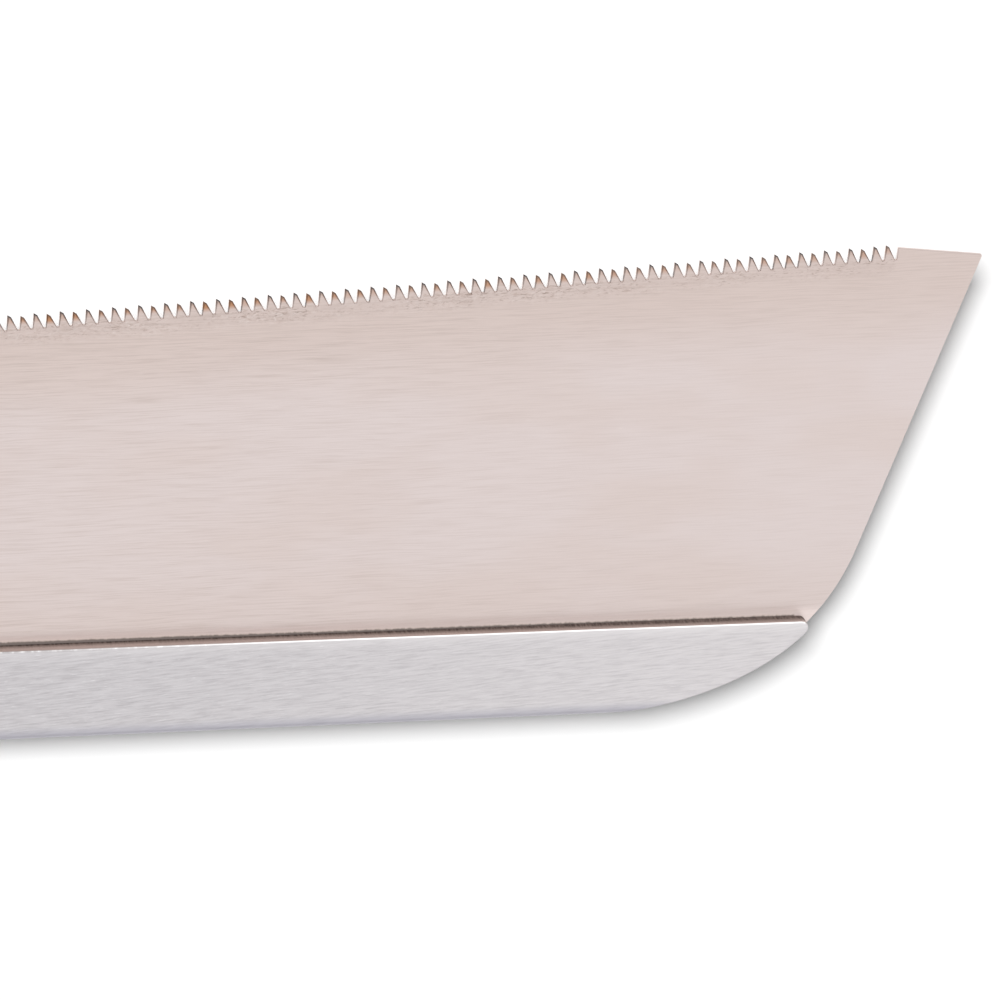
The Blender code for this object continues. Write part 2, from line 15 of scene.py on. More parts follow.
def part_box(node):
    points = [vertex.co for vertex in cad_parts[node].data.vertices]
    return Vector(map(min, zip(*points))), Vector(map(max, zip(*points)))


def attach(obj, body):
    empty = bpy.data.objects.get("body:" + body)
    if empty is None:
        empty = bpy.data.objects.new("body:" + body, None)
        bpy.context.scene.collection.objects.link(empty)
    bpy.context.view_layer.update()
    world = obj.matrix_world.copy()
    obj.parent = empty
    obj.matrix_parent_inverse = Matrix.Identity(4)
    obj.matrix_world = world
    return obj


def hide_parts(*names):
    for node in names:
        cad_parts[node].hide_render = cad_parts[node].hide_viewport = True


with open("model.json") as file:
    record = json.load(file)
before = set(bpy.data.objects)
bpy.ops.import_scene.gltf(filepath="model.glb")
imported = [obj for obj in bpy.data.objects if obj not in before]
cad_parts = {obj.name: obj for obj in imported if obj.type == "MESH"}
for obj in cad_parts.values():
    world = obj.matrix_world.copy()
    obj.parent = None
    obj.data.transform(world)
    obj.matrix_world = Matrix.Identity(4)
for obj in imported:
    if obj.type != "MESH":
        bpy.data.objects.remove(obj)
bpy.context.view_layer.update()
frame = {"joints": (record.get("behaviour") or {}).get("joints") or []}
PIVOT = np.array(next(j["pos_m"] for j in frame["joints"] if j["name"] == "blade_fold"))
X, Y, Z = 0, 1, 2
MM = 0.001


def span(node, axis):
    """Lowest and highest place of a CAD node along one axis, from the pivot."""
    low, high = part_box(node)
    return low[axis] - PIVOT[axis], high[axis] - PIVOT[axis]


def middle(node):
    """Centre of a CAD node seen from above, from the pivot."""
    return np.array([sum(span(node, axis)) / 2 for axis in (X, Y)])


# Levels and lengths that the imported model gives
BACK = span("folded_spine", Y)[0]
PLATE_HALF = span("saw_plate", Z)[1]
SPINE_HALF = span("folded_spine", Z)[1]
SLOT_HALF, LINER_OUTER = span("liner_upper", Z)
GRIP_INNER, GRIP_OUTER = span("scale_upper", Z)
SPACER_HALF = span("back_spacer", Z)[1]
HANDLE_FRONT = span("bolster_upper", X)[1]
HANDLE_REAR = span("scale_upper", X)[0]
BOLSTER_END = span("bolster_upper", X)[0]
SCALE_START = span("scale_upper", X)[1]
BELLY_FRONT = span("bolster_upper", Y)[1]
BUTT_FRONT = span("butt_block", X)[1]
SLOT_FLOOR = span("back_spacer", Y)[1]

# Teeth: steep on the handle's side, a short top facet, every second tooth a little lower
TOOTH_PITCH = 1.5 * MM
TOOTH_COUNT = 160
TOOTH_DEPTH = 1.9 * MM
TIP_LEAN = 0.12 * MM
FACET_LENGTH = 0.43 * MM
FACET_DROP = 0.3 * MM
GULLET_WIDTH = 0.25 * MM
LOW_TOOTH = 0.2 * MM
TIP_JITTER = 0.02 * MM
TOOTH_LINE_ANGLE = np.radians(3.30)
FIRST_TOOTH_REACH = 24.1 * MM
# Bevels ground on the upper and lower side of each tooth: gullet end, facet end, tip and base
UPPER_BEVEL = np.array([0.06, 0.19, 0.19, 0.02]) * MM
UPPER_BEVEL_DEPTH = np.array([0.07, 0.20, 0.20, 0.03]) * MM
LOWER_BEVEL = np.array([0.03, 0.09, 0.09, 0.02]) * MM
LOWER_BEVEL_DEPTH = np.array([0.04, 0.12, 0.12, 0.03]) * MM

# Toe of the blade
NOSE_LENGTH = 10.5 * MM
NOSE_ANGLE = np.radians(6.0)
NOSE_DROP = 0.4 * MM
TOE_CORNER_RADIUS = 0.2 * MM
FRONT_EDGE_ANGLE = np.radians(16.15)
FRONT_EDGE_LENGTH = 40.3 * MM
TOE_CURVE_RUN = 47.9 * MM

# Folded spine and the cheeks of its heel
SPINE_SHEET = 1.6 * MM
SPINE_HEIGHT = 12 * MM
PLATE_CLEARANCE = 0.1 * MM
FOLD_CLEARANCE = 0.3 * MM
CHEEK_REACH = 46 * MM
CHEEK_FILLET = 12 * MM
CREST_START = 9 * MM
CREST_END = 20 * MM
CREST_FILLET = 2 * MM
TANG_RADIUS = 14 * MM
PLATE_INSET = 1 * MM
SHOULDER_SETBACK = 8 * MM
FOLD_RUN = 1.1 * MM
# The lip: round of its rim, the height that this needs to grow, its corner at the toe and its slope
LIP_ROUND = 0.2 * MM
LIP_EASE = 4 * MM
LIP_CORNER = 0.95 * MM
LIP_TAPER = 0.0033

# Handle: depths of its belly, the lengths over which they change, its corners and the hanging eye
BELLY_GRIP = 8 * MM
BELLY_BUTT = 13.5 * MM
GRIP_EASE = 90 * MM
BUTT_EASE = 100 * MM
FRONT_BACK_RADIUS = 6 * MM
FRONT_BELLY_RADIUS = 11 * MM
BUTT_RADIUS = 9 * MM
GRIP_ROUND = 3.9 * MM
STOP_STEP = -21.7 * MM
EYE_RADIUS = 4.5 * MM
EYE_WALL = 3.5 * MM
EYE_REACH = 6 * MM

# Pivot bolt and its nut
BOLT_RADIUS = 3 * MM
BOLT_HEAD_FLATS = 10 * MM
BOLT_HEAD_HEIGHT = 3.8 * MM
THREAD_PITCH = 1 * MM
THREAD_DEPTH = 0.45 * MM
SPRING_GAP = np.radians(12)
NUT_BASE_RADIUS = 6.2 * MM
NUT_TOP_RADIUS = 5 * MM
NUT_HEIGHT = 7.5 * MM
NUT_FOOT_BREAK = 0.4 * MM
NUT_TOP_BREAK = 0.6 * MM
NUT_FLARE = 0.1 * MM
WING_HALF = 1.4 * MM
WING_ROUND = 0.8 * WING_HALF
WING_FOOT = 1 * MM
WING_LOBE_RADIUS = 4 * MM
WING_LOBE_PLACE = np.array([11, 8.5]) * MM
WING_LOBE_TURN = np.radians([-60, 150])
CAST_GRAIN = 0.22 * MM
CAST_SOFTENING = 8

# Clearance of drilled holes, and broken edges
HOLE_FIT = 0.1 * MM
EDGE_BREAK = 0.04 * MM

# Fineness: sides of round shapes, steps of curves and rims, angles that stay sharp
ROUND_SIDES = 72
HOLE_SIDES = 48
THREAD_SIDES = 48
THREAD_ROWS = 120
RIM_STEPS = 3
LIP_STEPS = 8
GRIP_STEPS = 8
FOLD_STEPS = 12
CORNER_STEPS = 12
TOE_STEPS = 20
SPINE_TOE_STEPS = 24
LOBE_STEPS = 30
EYE_STEPS = 36
TANG_STEPS = 40
BELLY_STEPS = 60
SHARP_ANGLE = np.radians(32)
SPINE_SHARP_ANGLE = np.radians(15)
PLATE_SHARP_ANGLE = np.radians(10)
WELD = 1e-7
FILL_WELD = 1e-5


def eased(share):
    """A share from 0 to 1 that starts and ends gently: s^2 * (3 - 2 * s)."""
    share = np.clip(share, 0, 1)
    return share * share * (3 - 2 * share)


def arc(centre, radius, start, end, steps):
    """Points on a circle: centre + radius * (cos a, sin a), with a from start to end."""
    a = np.linspace(start, end, steps + 1)
    return np.asarray(centre) + radius * np.column_stack([np.cos(a), np.sin(a)])


def rounded(before, corner, after, radius):
    """The arc that touches both edges of a corner: its centre lies radius / sin(half angle) along the
    bisector."""
    before, corner, after = (np.asarray(p, float) for p in (before, corner, after))
    first = np.arctan2(*(before - corner)[::-1])
    turn = np.arctan2(*(after - corner)[::-1]) - first
    turn = (turn + np.pi) % (2 * np.pi) - np.pi
    bisector = first + turn / 2
    reach = radius / np.sin(abs(turn) / 2)
    centre = corner + reach * np.array([np.cos(bisector), np.sin(bisector)])
    side = np.copysign(np.pi / 2, turn)
    last = first + turn + side - np.copysign(2 * np.pi, turn)
    return arc(centre, radius, first - side, last, CORNER_STEPS)


def loop(*runs):
    """Runs of points joined into one closed outline, with repeated points left out."""
    points = np.vstack(runs)
    apart = np.linalg.norm(points - np.roll(points, 1, 0), axis=1)
    return points[apart > WELD]


def hole(centre, radius, sides=HOLE_SIDES):
    """A round hole: a circle run clockwise, so that the material stays on its left."""
    return arc(centre, radius, 0, -2 * np.pi * (1 - 1 / sides), sides - 1)


def inward(outline, width):
    """Moves that bring each edge in by a width: the width along the mitre (n1 + n2) / (1 + n1.n2)."""
    ahead = np.roll(outline, -1, 0) - outline
    ahead /= np.linalg.norm(ahead, axis=1, keepdims=True)
    normal = np.column_stack([-ahead[:, 1], ahead[:, 0]])
    before = np.roll(normal, 1, 0)
    mitre = (normal + before) / (1 + (normal * before).sum(1, keepdims=True))
    return mitre * np.broadcast_to(width, len(outline))[:, None]


def filled(outlines, ridges=()):
    """Triangles that fill the first outline and leave the others open: a Delaunay mesh kept to the outlines,
    without the triangles whose centre lies outside by the crossing count."""
    points = np.vstack(outlines) / MM
    edges, start = [], 0
    for outline in outlines:
        corner = np.arange(len(outline))
        edges += (start + np.column_stack([corner, np.roll(corner, -1)])).tolist()
        start += len(outline)
    walls = points[np.array(edges)]
    made = delaunay_2d_cdt([Vector(p) for p in points], edges + list(ridges), [], 0, FILL_WELD)
    places, triangles, origin = np.array([v[:] for v in made[0]]), np.array(made[2]), made[3]
    first = np.array([ids[0] for ids in origin])
    x, y = places[triangles].mean(1).T[:, :, None]
    (x1, y1), (x2, y2) = walls[:, 0].T, walls[:, 1].T
    rise = np.where(y1 == y2, 1, y2 - y1)
    crossed = ((y1 > y) != (y2 > y)) & (x < x1 + (x2 - x1) * (y - y1) / rise)
    return first[triangles[crossed.sum(1) % 2 == 1]]


def even_rim(outline, width):
    """A rim for a slab that is as wide as it is deep, and the same on both sides."""
    return outline, width, width, width, width


def level(height):
    """A height as a function of the place, for a face that is flat."""
    return height if callable(height) else lambda place: np.full(len(place), height)


def slab(rims, top, bottom, ridges=(), steps=RIM_STEPS):
    """A plate with rounded rims. A rim is (outline, inset, depth, lower inset, lower depth), and the ring at
    angle a of its quarter round lies inset * (1 - cos a) inside it and depth * (1 - sin a) off the face."""
    angles = np.linspace(np.pi / 2, 0, steps + 1)
    points, faces, upper, lower, start = [], [], [], [], 0
    for outline, inset, depth, low_inset, low_depth in rims:
        move, low_move = (w if np.ndim(w) == 2 else inward(outline, w) for w in (inset, low_inset))
        rings = []
        for a in angles:
            place = outline + move * (1 - np.cos(a))
            rings.append(np.column_stack([place, level(top)(place) - depth * (1 - np.sin(a))]))
        for a in angles[::-1]:
            place = outline + low_move * (1 - np.cos(a))
            rings.append(np.column_stack([place, level(bottom)(place) + low_depth * (1 - np.sin(a))]))
        count = len(outline)
        faces += (start + grid(len(rings), count, wrap_columns=True)).tolist()
        upper.append((rings[0], start))
        lower.append((rings[-1], start + (len(rings) - 1) * count))
        points += rings
        start += len(rings) * count
    for cap, flip in ((upper, 1), (lower, -1)):
        number = np.concatenate([first + np.arange(len(ring)) for ring, first in cap])
        faces += number[filled([ring[:, :2] for ring, _ in cap], ridges)][:, ::flip].tolist()
    return np.vstack(points), faces


def grid(rows, columns, wrap_rows=False, wrap_columns=False):
    """Quads of a grid of points, closed on itself where it wraps."""
    i = np.arange(rows if wrap_rows else rows - 1)[:, None]
    j = np.arange(columns if wrap_columns else columns - 1)[None, :]
    below, beside = (i + 1) % rows, (j + 1) % columns
    corners = (i * columns + j, below * columns + j, below * columns + beside, i * columns + beside)
    return np.stack(np.broadcast_arrays(*corners), -1).reshape(-1, 4)


def turned(profile, place=(0, 0), sides=ROUND_SIDES, ring=False):
    """A turned shape: the profile (r, z) carried round, at (x, y) = place + r * (cos a, sin a)."""
    profile = np.asarray(profile, float)
    a = np.linspace(0, 2 * np.pi, sides, endpoint=False)
    r, z = profile[:, :1], profile[:, 1:]
    points = np.stack(np.broadcast_arrays(place[0] + r * np.cos(a), place[1] + r * np.sin(a), z), -1)
    return points.reshape(-1, 3), grid(len(profile), sides, ring, True).tolist()


def solid(name, shape, place=PIVOT):
    """A closed mesh object of the points and faces, with doubles merged and faces pointing out."""
    points, faces = shape
    mesh = bpy.data.meshes.new(name)
    mesh.from_pydata((points + place).tolist(), [], faces)
    clean(mesh)
    piece = bpy.data.objects.new(name, mesh)
    bpy.context.scene.collection.objects.link(piece)
    return piece


def clean(mesh):
    """Merge doubles, drop faces without area and point the rest outwards."""
    edit = bmesh.new()
    edit.from_mesh(mesh)
    bmesh.ops.remove_doubles(edit, verts=edit.verts, dist=WELD)
    bmesh.ops.dissolve_degenerate(edit, edges=edit.edges, dist=WELD)
    bmesh.ops.recalc_face_normals(edit, faces=edit.faces)
    edit.to_mesh(mesh)
    edit.free()


def settle(piece):
    """Apply a piece's modifiers to its mesh."""
    graph = bpy.context.evaluated_depsgraph_get()
    mesh = bpy.data.meshes.new_from_object(piece.evaluated_get(graph))
    piece.modifiers.clear()
    piece.data = mesh
    return piece


def cut(piece, shape, operation="DIFFERENCE"):
    """Cut the piece with a shape, or join it on."""
    tool = solid("tool", shape)
    step = piece.modifiers.new("cut", "BOOLEAN")
    step.operation = operation
    step.object = tool
    settle(piece)
    bpy.data.objects.remove(tool)
    return piece


def dress(piece, finish, body, slot, *nodes, sharp=SHARP_ANGLE):
    """Give a piece its finish and smooth shading, and hang it on the body in place of its CAD nodes."""
    piece.data.materials.clear()
    piece.data.materials.append(finish)
    piece.data.shade_smooth()
    piece.data.set_sharp_from_angle(angle=sharp)
    piece.modifiers.new("flat faces stay flat", "WEIGHTED_NORMAL").keep_sharp = True
    settle(piece)
    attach(piece, body)
    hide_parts(*nodes)
    return piece


# Tooth line, toe and tang
LAST_TIP = (TOOTH_COUNT - 1) * TOOTH_PITCH + TIP_LEAN
TOOTHED_LENGTH = TOOTH_COUNT * TOOTH_PITCH
TOOTH_DIRECTION = np.array([np.cos(TOOTH_LINE_ANGLE), np.sin(TOOTH_LINE_ANGLE)])
FIRST_TIP = np.array([FIRST_TOOTH_REACH, span("saw_plate", Y)[1] - LAST_TIP * np.sin(TOOTH_LINE_ANGLE)])


def on_tooth_line(along, below=0.0):
    """Points this far along the tip line from the first tooth, and this far below it."""
    along, below = np.broadcast_arrays(np.asarray(along, float), below)
    across = np.array([-TOOTH_DIRECTION[1], TOOTH_DIRECTION[0]])
    return FIRST_TIP + along[..., None] * TOOTH_DIRECTION - below[..., None] * across


def tip_line(x):
    """Height of the tip line at x."""
    return FIRST_TIP[1] + (x - FIRST_TIP[0]) * np.tan(TOOTH_LINE_ANGLE)


NOSE_START = on_tooth_line(TOOTHED_LENGTH + TIP_LEAN, NOSE_DROP)
TOE_CORNER = NOSE_START + NOSE_LENGTH * np.array([np.cos(NOSE_ANGLE), -np.sin(NOSE_ANGLE)])
TOE_WIDTH = TOE_CORNER[1] - BACK
CURVE_RISE = TOE_WIDTH - FRONT_EDGE_LENGTH * np.cos(FRONT_EDGE_ANGLE)


def on_toe_curve(heights):
    """Points on the toe curve at these heights over the blade's back: a parabola whose two tangents are the
    front edge and the back, x = u^2 * start + 2 * u * (1 - u) * corner + (1 - u)^2 * end, with
    u = sqrt(height / rise)."""
    u = np.sqrt(np.asarray(heights) / CURVE_RISE)
    start = FRONT_EDGE_LENGTH * np.sin(FRONT_EDGE_ANGLE)
    corner = TOE_WIDTH * np.tan(FRONT_EDGE_ANGLE)
    back = u ** 2 * start + 2 * u * (1 - u) * corner + (1 - u) ** 2 * TOE_CURVE_RUN
    return np.column_stack([TOE_CORNER[0] - back, BACK + np.asarray(heights)])


def tang_arc(corner, radius):
    """The tang's round end, from the tangent through a corner round to the stop shoulder."""
    start = np.arctan2(corner[1], corner[0]) + np.arccos(radius / np.hypot(*corner))
    shoulder = SHOULDER_SETBACK - (TANG_RADIUS - radius)
    end = 2 * np.pi - np.arccos(-shoulder / radius)
    return arc((0, 0), radius, start, end, TANG_STEPS), shoulder


def tooth_edge():
    """Corners of the teeth from toe to heel, four to a tooth: gullet end, facet end, tip and base."""
    number = np.arange(TOOTH_COUNT)[::-1, None]
    jitter = np.random.default_rng(5).uniform(0, TIP_JITTER, (TOOTH_COUNT, 1))
    along = number * TOOTH_PITCH + [TOOTH_PITCH - GULLET_WIDTH, TIP_LEAN + FACET_LENGTH, TIP_LEAN, 0]
    drop = (LOW_TOOTH * (number % 2) + jitter) * [0, 1, 1, 0]
    drop[0] = 0
    below = drop + [TOOTH_DEPTH, FACET_DROP, 0, TOOTH_DEPTH]
    return on_tooth_line(along.ravel(), below.ravel())


def make_plate(finish):
    """The saw plate: its outline with every tooth, bevelled on both sides, and its rivet and bush holes."""
    bottom = SPINE_SHEET + FOLD_CLEARANCE
    lip = SPINE_HEIGHT + LIP_ROUND
    heights = [np.linspace(bottom, lip, TOE_STEPS), np.linspace(lip, CURVE_RISE, TOE_STEPS)]
    curve = on_toe_curve(np.concatenate(heights))
    toe = rounded(curve[-1], TOE_CORNER, NOSE_START, TOE_CORNER_RADIUS)
    heel = np.array([CREST_START + PLATE_INSET, tip_line(CREST_START + PLATE_INSET) - TOOTH_DEPTH])
    tang, shoulder = tang_arc(heel, TANG_RADIUS - PLATE_INSET)
    teeth = tooth_edge()
    nose = [NOSE_START, on_tooth_line(TOOTHED_LENGTH, TOOTH_DEPTH)]
    fore = loop([(-shoulder, BACK + bottom)], curve, toe, nose)
    outline = np.vstack([fore, teeth, [heel], tang])
    widths = []
    for bevel in (UPPER_BEVEL, UPPER_BEVEL_DEPTH, LOWER_BEVEL, LOWER_BEVEL_DEPTH):
        width = np.full(len(outline), EDGE_BREAK)
        width[len(fore):len(fore) + len(teeth)] = np.tile(bevel, TOOTH_COUNT)
        widths.append(width)
    rims = [(outline, *widths)]
    rims += [even_rim(hole(*place), EDGE_BREAK) for place in heel_holes()]
    plate = solid("saw_plate_fine", slab(rims, PLATE_HALF, -PLATE_HALF, steps=1))
    dress(plate, finish, "blade", "plate_steel", "saw_plate", sharp=PLATE_SHARP_ANGLE)


def heel_holes():
    """Place and radius of the holes through the blade's heel: three rivets and the pivot bush."""
    nodes = ["heel_rivet_1", "heel_rivet_2", "heel_rivet_3", "pivot_bush"]
    return [(middle(node), radius_of(node) + HOLE_FIT) for node in nodes]


def fold_height(place):
    """Half thickness of the folded spine at a place: a pressed half round at the fold, flat above it."""
    short = 1 - np.clip((place[:, 1] - BACK) / FOLD_RUN, 0, 1)
    return SPINE_HALF * np.sqrt(1 - short ** 2)


def make_spine(finish):
    """The sheet folded over the plate's back, and its cheeks: one outline, thinned to a half round at the
    fold, with a slot cut for the plate. Ridges run along the fold so that it stays round."""
    turn = np.linspace(0, np.pi / 2, FOLD_STEPS + 1)
    rows = FOLD_RUN * (1 - np.cos(turn))
    bend = SPINE_HEIGHT - 2 * LIP_CORNER
    curve = on_toe_curve(np.concatenate([rows, np.linspace(rows[-1], bend, SPINE_TOE_STEPS)[1:]]))
    corner = on_toe_curve([SPINE_HEIGHT])[0]
    foot = (CHEEK_REACH, corner[Y] + LIP_TAPER * (corner[X] - CHEEK_REACH))
    lip_end = rounded(curve[-1], corner, foot, LIP_CORNER)
    crest_end = (CREST_END, tip_line(CREST_END))
    crest_start = (CREST_START, tip_line(CREST_START))
    tang, shoulder = tang_arc(crest_start, TANG_RADIUS)
    stop = np.column_stack([np.full(len(rows), -shoulder), BACK + rows])
    outline = loop(
        curve,
        lip_end,
        rounded(lip_end[-1], foot, crest_end, CHEEK_FILLET),
        rounded(foot, crest_end, crest_start, CREST_FILLET),
        rounded(crest_end, crest_start, tang[0], CREST_FILLET),
        tang,
        stop[::-1],
    )
    rise = outline[:, 1] - BACK
    inset = LIP_ROUND * np.clip(rise / LIP_EASE, 0, 1)
    count = len(outline)
    ridges = [(row, count - 1 - row) for row in range(1, FOLD_STEPS + 1)]
    rims = [even_rim(outline, inset)]
    rims += [even_rim(hole(*place), 2 * EDGE_BREAK) for place in heel_holes()]
    shape = slab(rims, fold_height, lambda place: -fold_height(place), ridges, LIP_STEPS)
    spine = solid("folded_spine_fine", shape)
    gap = PLATE_HALF + PLATE_CLEARANCE
    floor, (beyond, above) = BACK + SPINE_SHEET, 2 * TOE_CORNER
    behind = -2 * TANG_RADIUS
    slot = np.array([(behind, floor), (beyond, floor), (beyond, above), (behind, above)])
    cut(spine, slab([even_rim(slot, 0)], gap, -gap, steps=1))
    dress(spine, finish, "blade", "spine_steel", "folded_spine", sharp=SPINE_SHARP_ANGLE)


def radius_of(node):
    """Half the width of a CAD node along x."""
    low, high = span(node, X)
    return (high - low) / 2


def barrel(radius, low, high, chamfer=EDGE_BREAK):
    """Profile of a round bar with broken edges."""
    inside = radius - chamfer
    return [(0, low), (inside, low), (radius, low + chamfer),
            (radius, high - chamfer), (inside, high), (0, high)]


def ring(inner, outer, low, high, chamfer=EDGE_BREAK):
    """Profile of a flat ring with broken edges, closed on itself."""
    inside, outside, floor, roof = inner + chamfer, outer - chamfer, low + chamfer, high - chamfer
    return [(inner, floor), (inside, low), (outside, low), (outer, floor),
            (outer, roof), (outside, high), (inside, high), (inner, roof)]


def belly(x):
    """Height of the handle's belly: full at the bolster, slim in the grip, full again at the butt."""
    to_grip = eased((BOLSTER_END - x) / GRIP_EASE)
    to_butt = eased((HANDLE_REAR + BUTT_EASE - x) / BUTT_EASE)
    return BELLY_FRONT + (BELLY_GRIP - BELLY_FRONT) * to_grip + (BELLY_BUTT - BELLY_GRIP) * to_butt


def handle_outline(front=None, rear=None):
    """Outline of the handle, or of its part between two joint lines."""
    butt_low, butt_high = (HANDLE_REAR, BACK), (HANDLE_REAR, belly(HANDLE_REAR))
    nose_low, nose_high = (HANDLE_FRONT, BACK), (HANDLE_FRONT, BELLY_FRONT)
    top_start, top_end = HANDLE_FRONT - 2 * FRONT_BELLY_RADIUS, HANDLE_REAR + BUTT_RADIUS
    runs = [rounded(butt_high, butt_low, nose_low, BUTT_RADIUS)] if rear is None else [[(rear, BACK)]]
    if front is None:
        runs.append(rounded(butt_low, nose_low, nose_high, FRONT_BACK_RADIUS))
        runs.append(rounded(nose_low, nose_high, (0, BELLY_FRONT), FRONT_BELLY_RADIUS))
    else:
        top_start = front
        runs.append([(front, BACK)])
    x = np.linspace(top_start, top_end if rear is None else rear, BELLY_STEPS)
    runs.append(np.column_stack([x, belly(x)]))
    if rear is None:
        runs.append(rounded(runs[-1][-1], butt_high, butt_low, BUTT_RADIUS)[1:])
    return loop(*runs)


PINS = ["block_pin_1", "block_pin_2", "back_pin_1", "back_pin_2", "back_pin_3", "butt_pin"]


def pin_rims(low, high):
    """Rims of the pin holes between two places along the handle."""
    inside = [pin for pin in PINS if low < middle(pin)[X] < high]
    return [even_rim(hole(middle(pin), radius_of(pin) + HOLE_FIT), EDGE_BREAK) for pin in inside]


def make_grip(name, front, rear, joint, sign, finish, slot):
    """A scale or a bolster: the handle's outline with its outer rim rounded, except along the joint."""
    outline = handle_outline(front, rear)
    on_joint = np.abs(outline[:, 0] - joint) < WELD
    move = inward(outline, GRIP_ROUND)
    move[on_joint] = [(0, -np.copysign(GRIP_ROUND, y)) for y in outline[on_joint, 1]]
    inner = inward(outline, EDGE_BREAK)
    inner[on_joint] = 0
    rim = (outline, move, GRIP_ROUND, inner, 0) if sign > 0 else (outline, inner, 0, move, GRIP_ROUND)
    levels = sorted([sign * GRIP_INNER, sign * GRIP_OUTER])
    grip = solid(name + "_fine", slab([rim], levels[1], levels[0], steps=GRIP_STEPS))
    low, high = outline[:, X].min(), outline[:, X].max()
    through = (-2 * GRIP_OUTER, 2 * GRIP_OUTER)
    for pin in PINS:
        if low < middle(pin)[X] < high:
            cut(grip, turned(barrel(radius_of(pin) + HOLE_FIT, *through), middle(pin)))
    if low < 0 < high:
        cut(grip, turned(barrel(BOLT_RADIUS + HOLE_FIT, *through)))
    if low < 0 < high and sign < 0:
        seat = span("pivot_bolt", Z)[0] + BOLT_HEAD_HEIGHT + HOLE_FIT
        cut(grip, slab([even_rim(hexagon(HOLE_FIT), 0)], seat, through[0], steps=1))
    dress(grip, finish, "handle", slot, name)


def hexagon(wider=0.0):
    """The bolt head's hexagon, wider by this much on every side."""
    return arc((0, 0), (BOLT_HEAD_FLATS / 2 + wider) / np.cos(np.pi / 6), 0, 2 * np.pi * 5 / 6, 5)


def make_plate_like(name, outline, holes, levels, finish, slot):
    """A flat piece of the handle with broken edges."""
    rims = [even_rim(outline, 2 * EDGE_BREAK)] + holes
    dress(solid(name + "_fine", slab(rims, levels[1], levels[0])), finish, "handle", slot, name)


def make_handle(finishes):
    """Liners, scales, bolsters, the blocks between the liners and the pins."""
    liner_holes = [even_rim(hole((0, 0), BOLT_RADIUS + HOLE_FIT), EDGE_BREAK)]
    liner_holes += pin_rims(HANDLE_REAR, HANDLE_FRONT)
    metal = finishes["light_metal"]
    for side, sign in (("lower", -1), ("upper", 1)):
        levels = sorted([sign * SLOT_HALF, sign * LINER_OUTER])
        make_plate_like(f"liner_{side}", handle_outline(), liner_holes, levels,
                        finishes["liner_steel"], "liner_steel")
        make_grip(f"bolster_{side}", None, BOLSTER_END, BOLSTER_END, sign, metal, "light_metal")
        make_grip(f"scale_{side}", SCALE_START, None, SCALE_START, sign, finishes["hardwood"], "hardwood")
    across = (-SPACER_HALF, SPACER_HALF)
    rear, front = span("stop_block", X)
    pad = span("stop_block", Y)[1]
    stop = np.array([(rear, BACK), (front, BACK), (front, pad),
                     (STOP_STEP, pad), (STOP_STEP, SLOT_FLOOR), (rear, SLOT_FLOOR)])
    make_plate_like("stop_block", stop, pin_rims(rear, front), across, finishes["tool_steel"], "tool_steel")
    rear, front = span("back_spacer", X)
    spacer = np.array([(rear, BACK), (front, BACK), (front, SLOT_FLOOR), (rear, SLOT_FLOOR)])
    make_plate_like("back_spacer", spacer, pin_rims(rear, front), across, metal, "light_metal")
    low, high = span("butt_block", Y)
    eye = (HANDLE_REAR - EYE_REACH, (low + high) / 2)
    reach = EYE_RADIUS + EYE_WALL
    shoulder = HANDLE_REAR + HOLE_FIT
    butt = loop([(BUTT_FRONT, low), (BUTT_FRONT, high), (shoulder, high), (shoulder, eye[1] + reach)],
                arc(eye, reach, np.pi / 2, 3 * np.pi / 2, EYE_STEPS),
                [(shoulder, eye[1] - reach), (shoulder, low)])
    holes = [even_rim(hole(eye, EYE_RADIUS, ROUND_SIDES), 8 * EDGE_BREAK)] + pin_rims(HANDLE_REAR, BUTT_FRONT)
    make_plate_like("butt_block", butt, holes, across, metal, "light_metal")
    envelope = slab([even_rim(handle_outline(), GRIP_ROUND)], GRIP_OUTER, -GRIP_OUTER, steps=GRIP_STEPS)
    for pin in PINS:
        bar = barrel(radius_of(pin), *np.multiply(2, span(pin, Z)))
        peened = cut(solid(pin + "_fine", turned(bar, middle(pin))), envelope, "INTERSECT")
        dress(peened, finishes["brass"], "handle", "brass", pin)


def make_pivot(finishes):
    """Rivets and bush of the blade's heel, the bolt and every washer on it."""
    for rivet in ("heel_rivet_1", "heel_rivet_2", "heel_rivet_3"):
        profile = barrel(radius_of(rivet), *span(rivet, Z), 2 * EDGE_BREAK)
        flush = solid(rivet + "_fine", turned(profile, middle(rivet)))
        dress(flush, finishes["brass"], "blade", "brass", rivet)
    bore = BOLT_RADIUS + HOLE_FIT
    rings = [("pivot_bush", "bronze", "blade", 2), ("friction_washer_lower", "bronze", "handle", 2),
             ("friction_washer_upper", "bronze", "handle", 2), ("nut_washer", "bright_steel", "handle", 5)]
    for node, slot, body, breaks in rings:
        profile = ring(bore, radius_of(node), *span(node, Z), breaks * EDGE_BREAK)
        washer = solid(node + "_fine", turned(profile, ring=True))
        dress(washer, finishes[slot], body, slot, node)
    split = solid("spring_washer_fine", split_ring(bore))
    dress(split, finishes["bright_steel"], "handle", "bright_steel", "spring_washer")
    low, high = span("pivot_bolt", Z)
    bolt = solid("pivot_bolt_fine", threaded(low, high))
    head = slab([even_rim(hexagon(), 8 * EDGE_BREAK)], low + BOLT_HEAD_HEIGHT, low)
    cut(bolt, head, "UNION")
    dress(bolt, finishes["bright_steel"], "handle", "bright_steel", "pivot_bolt")


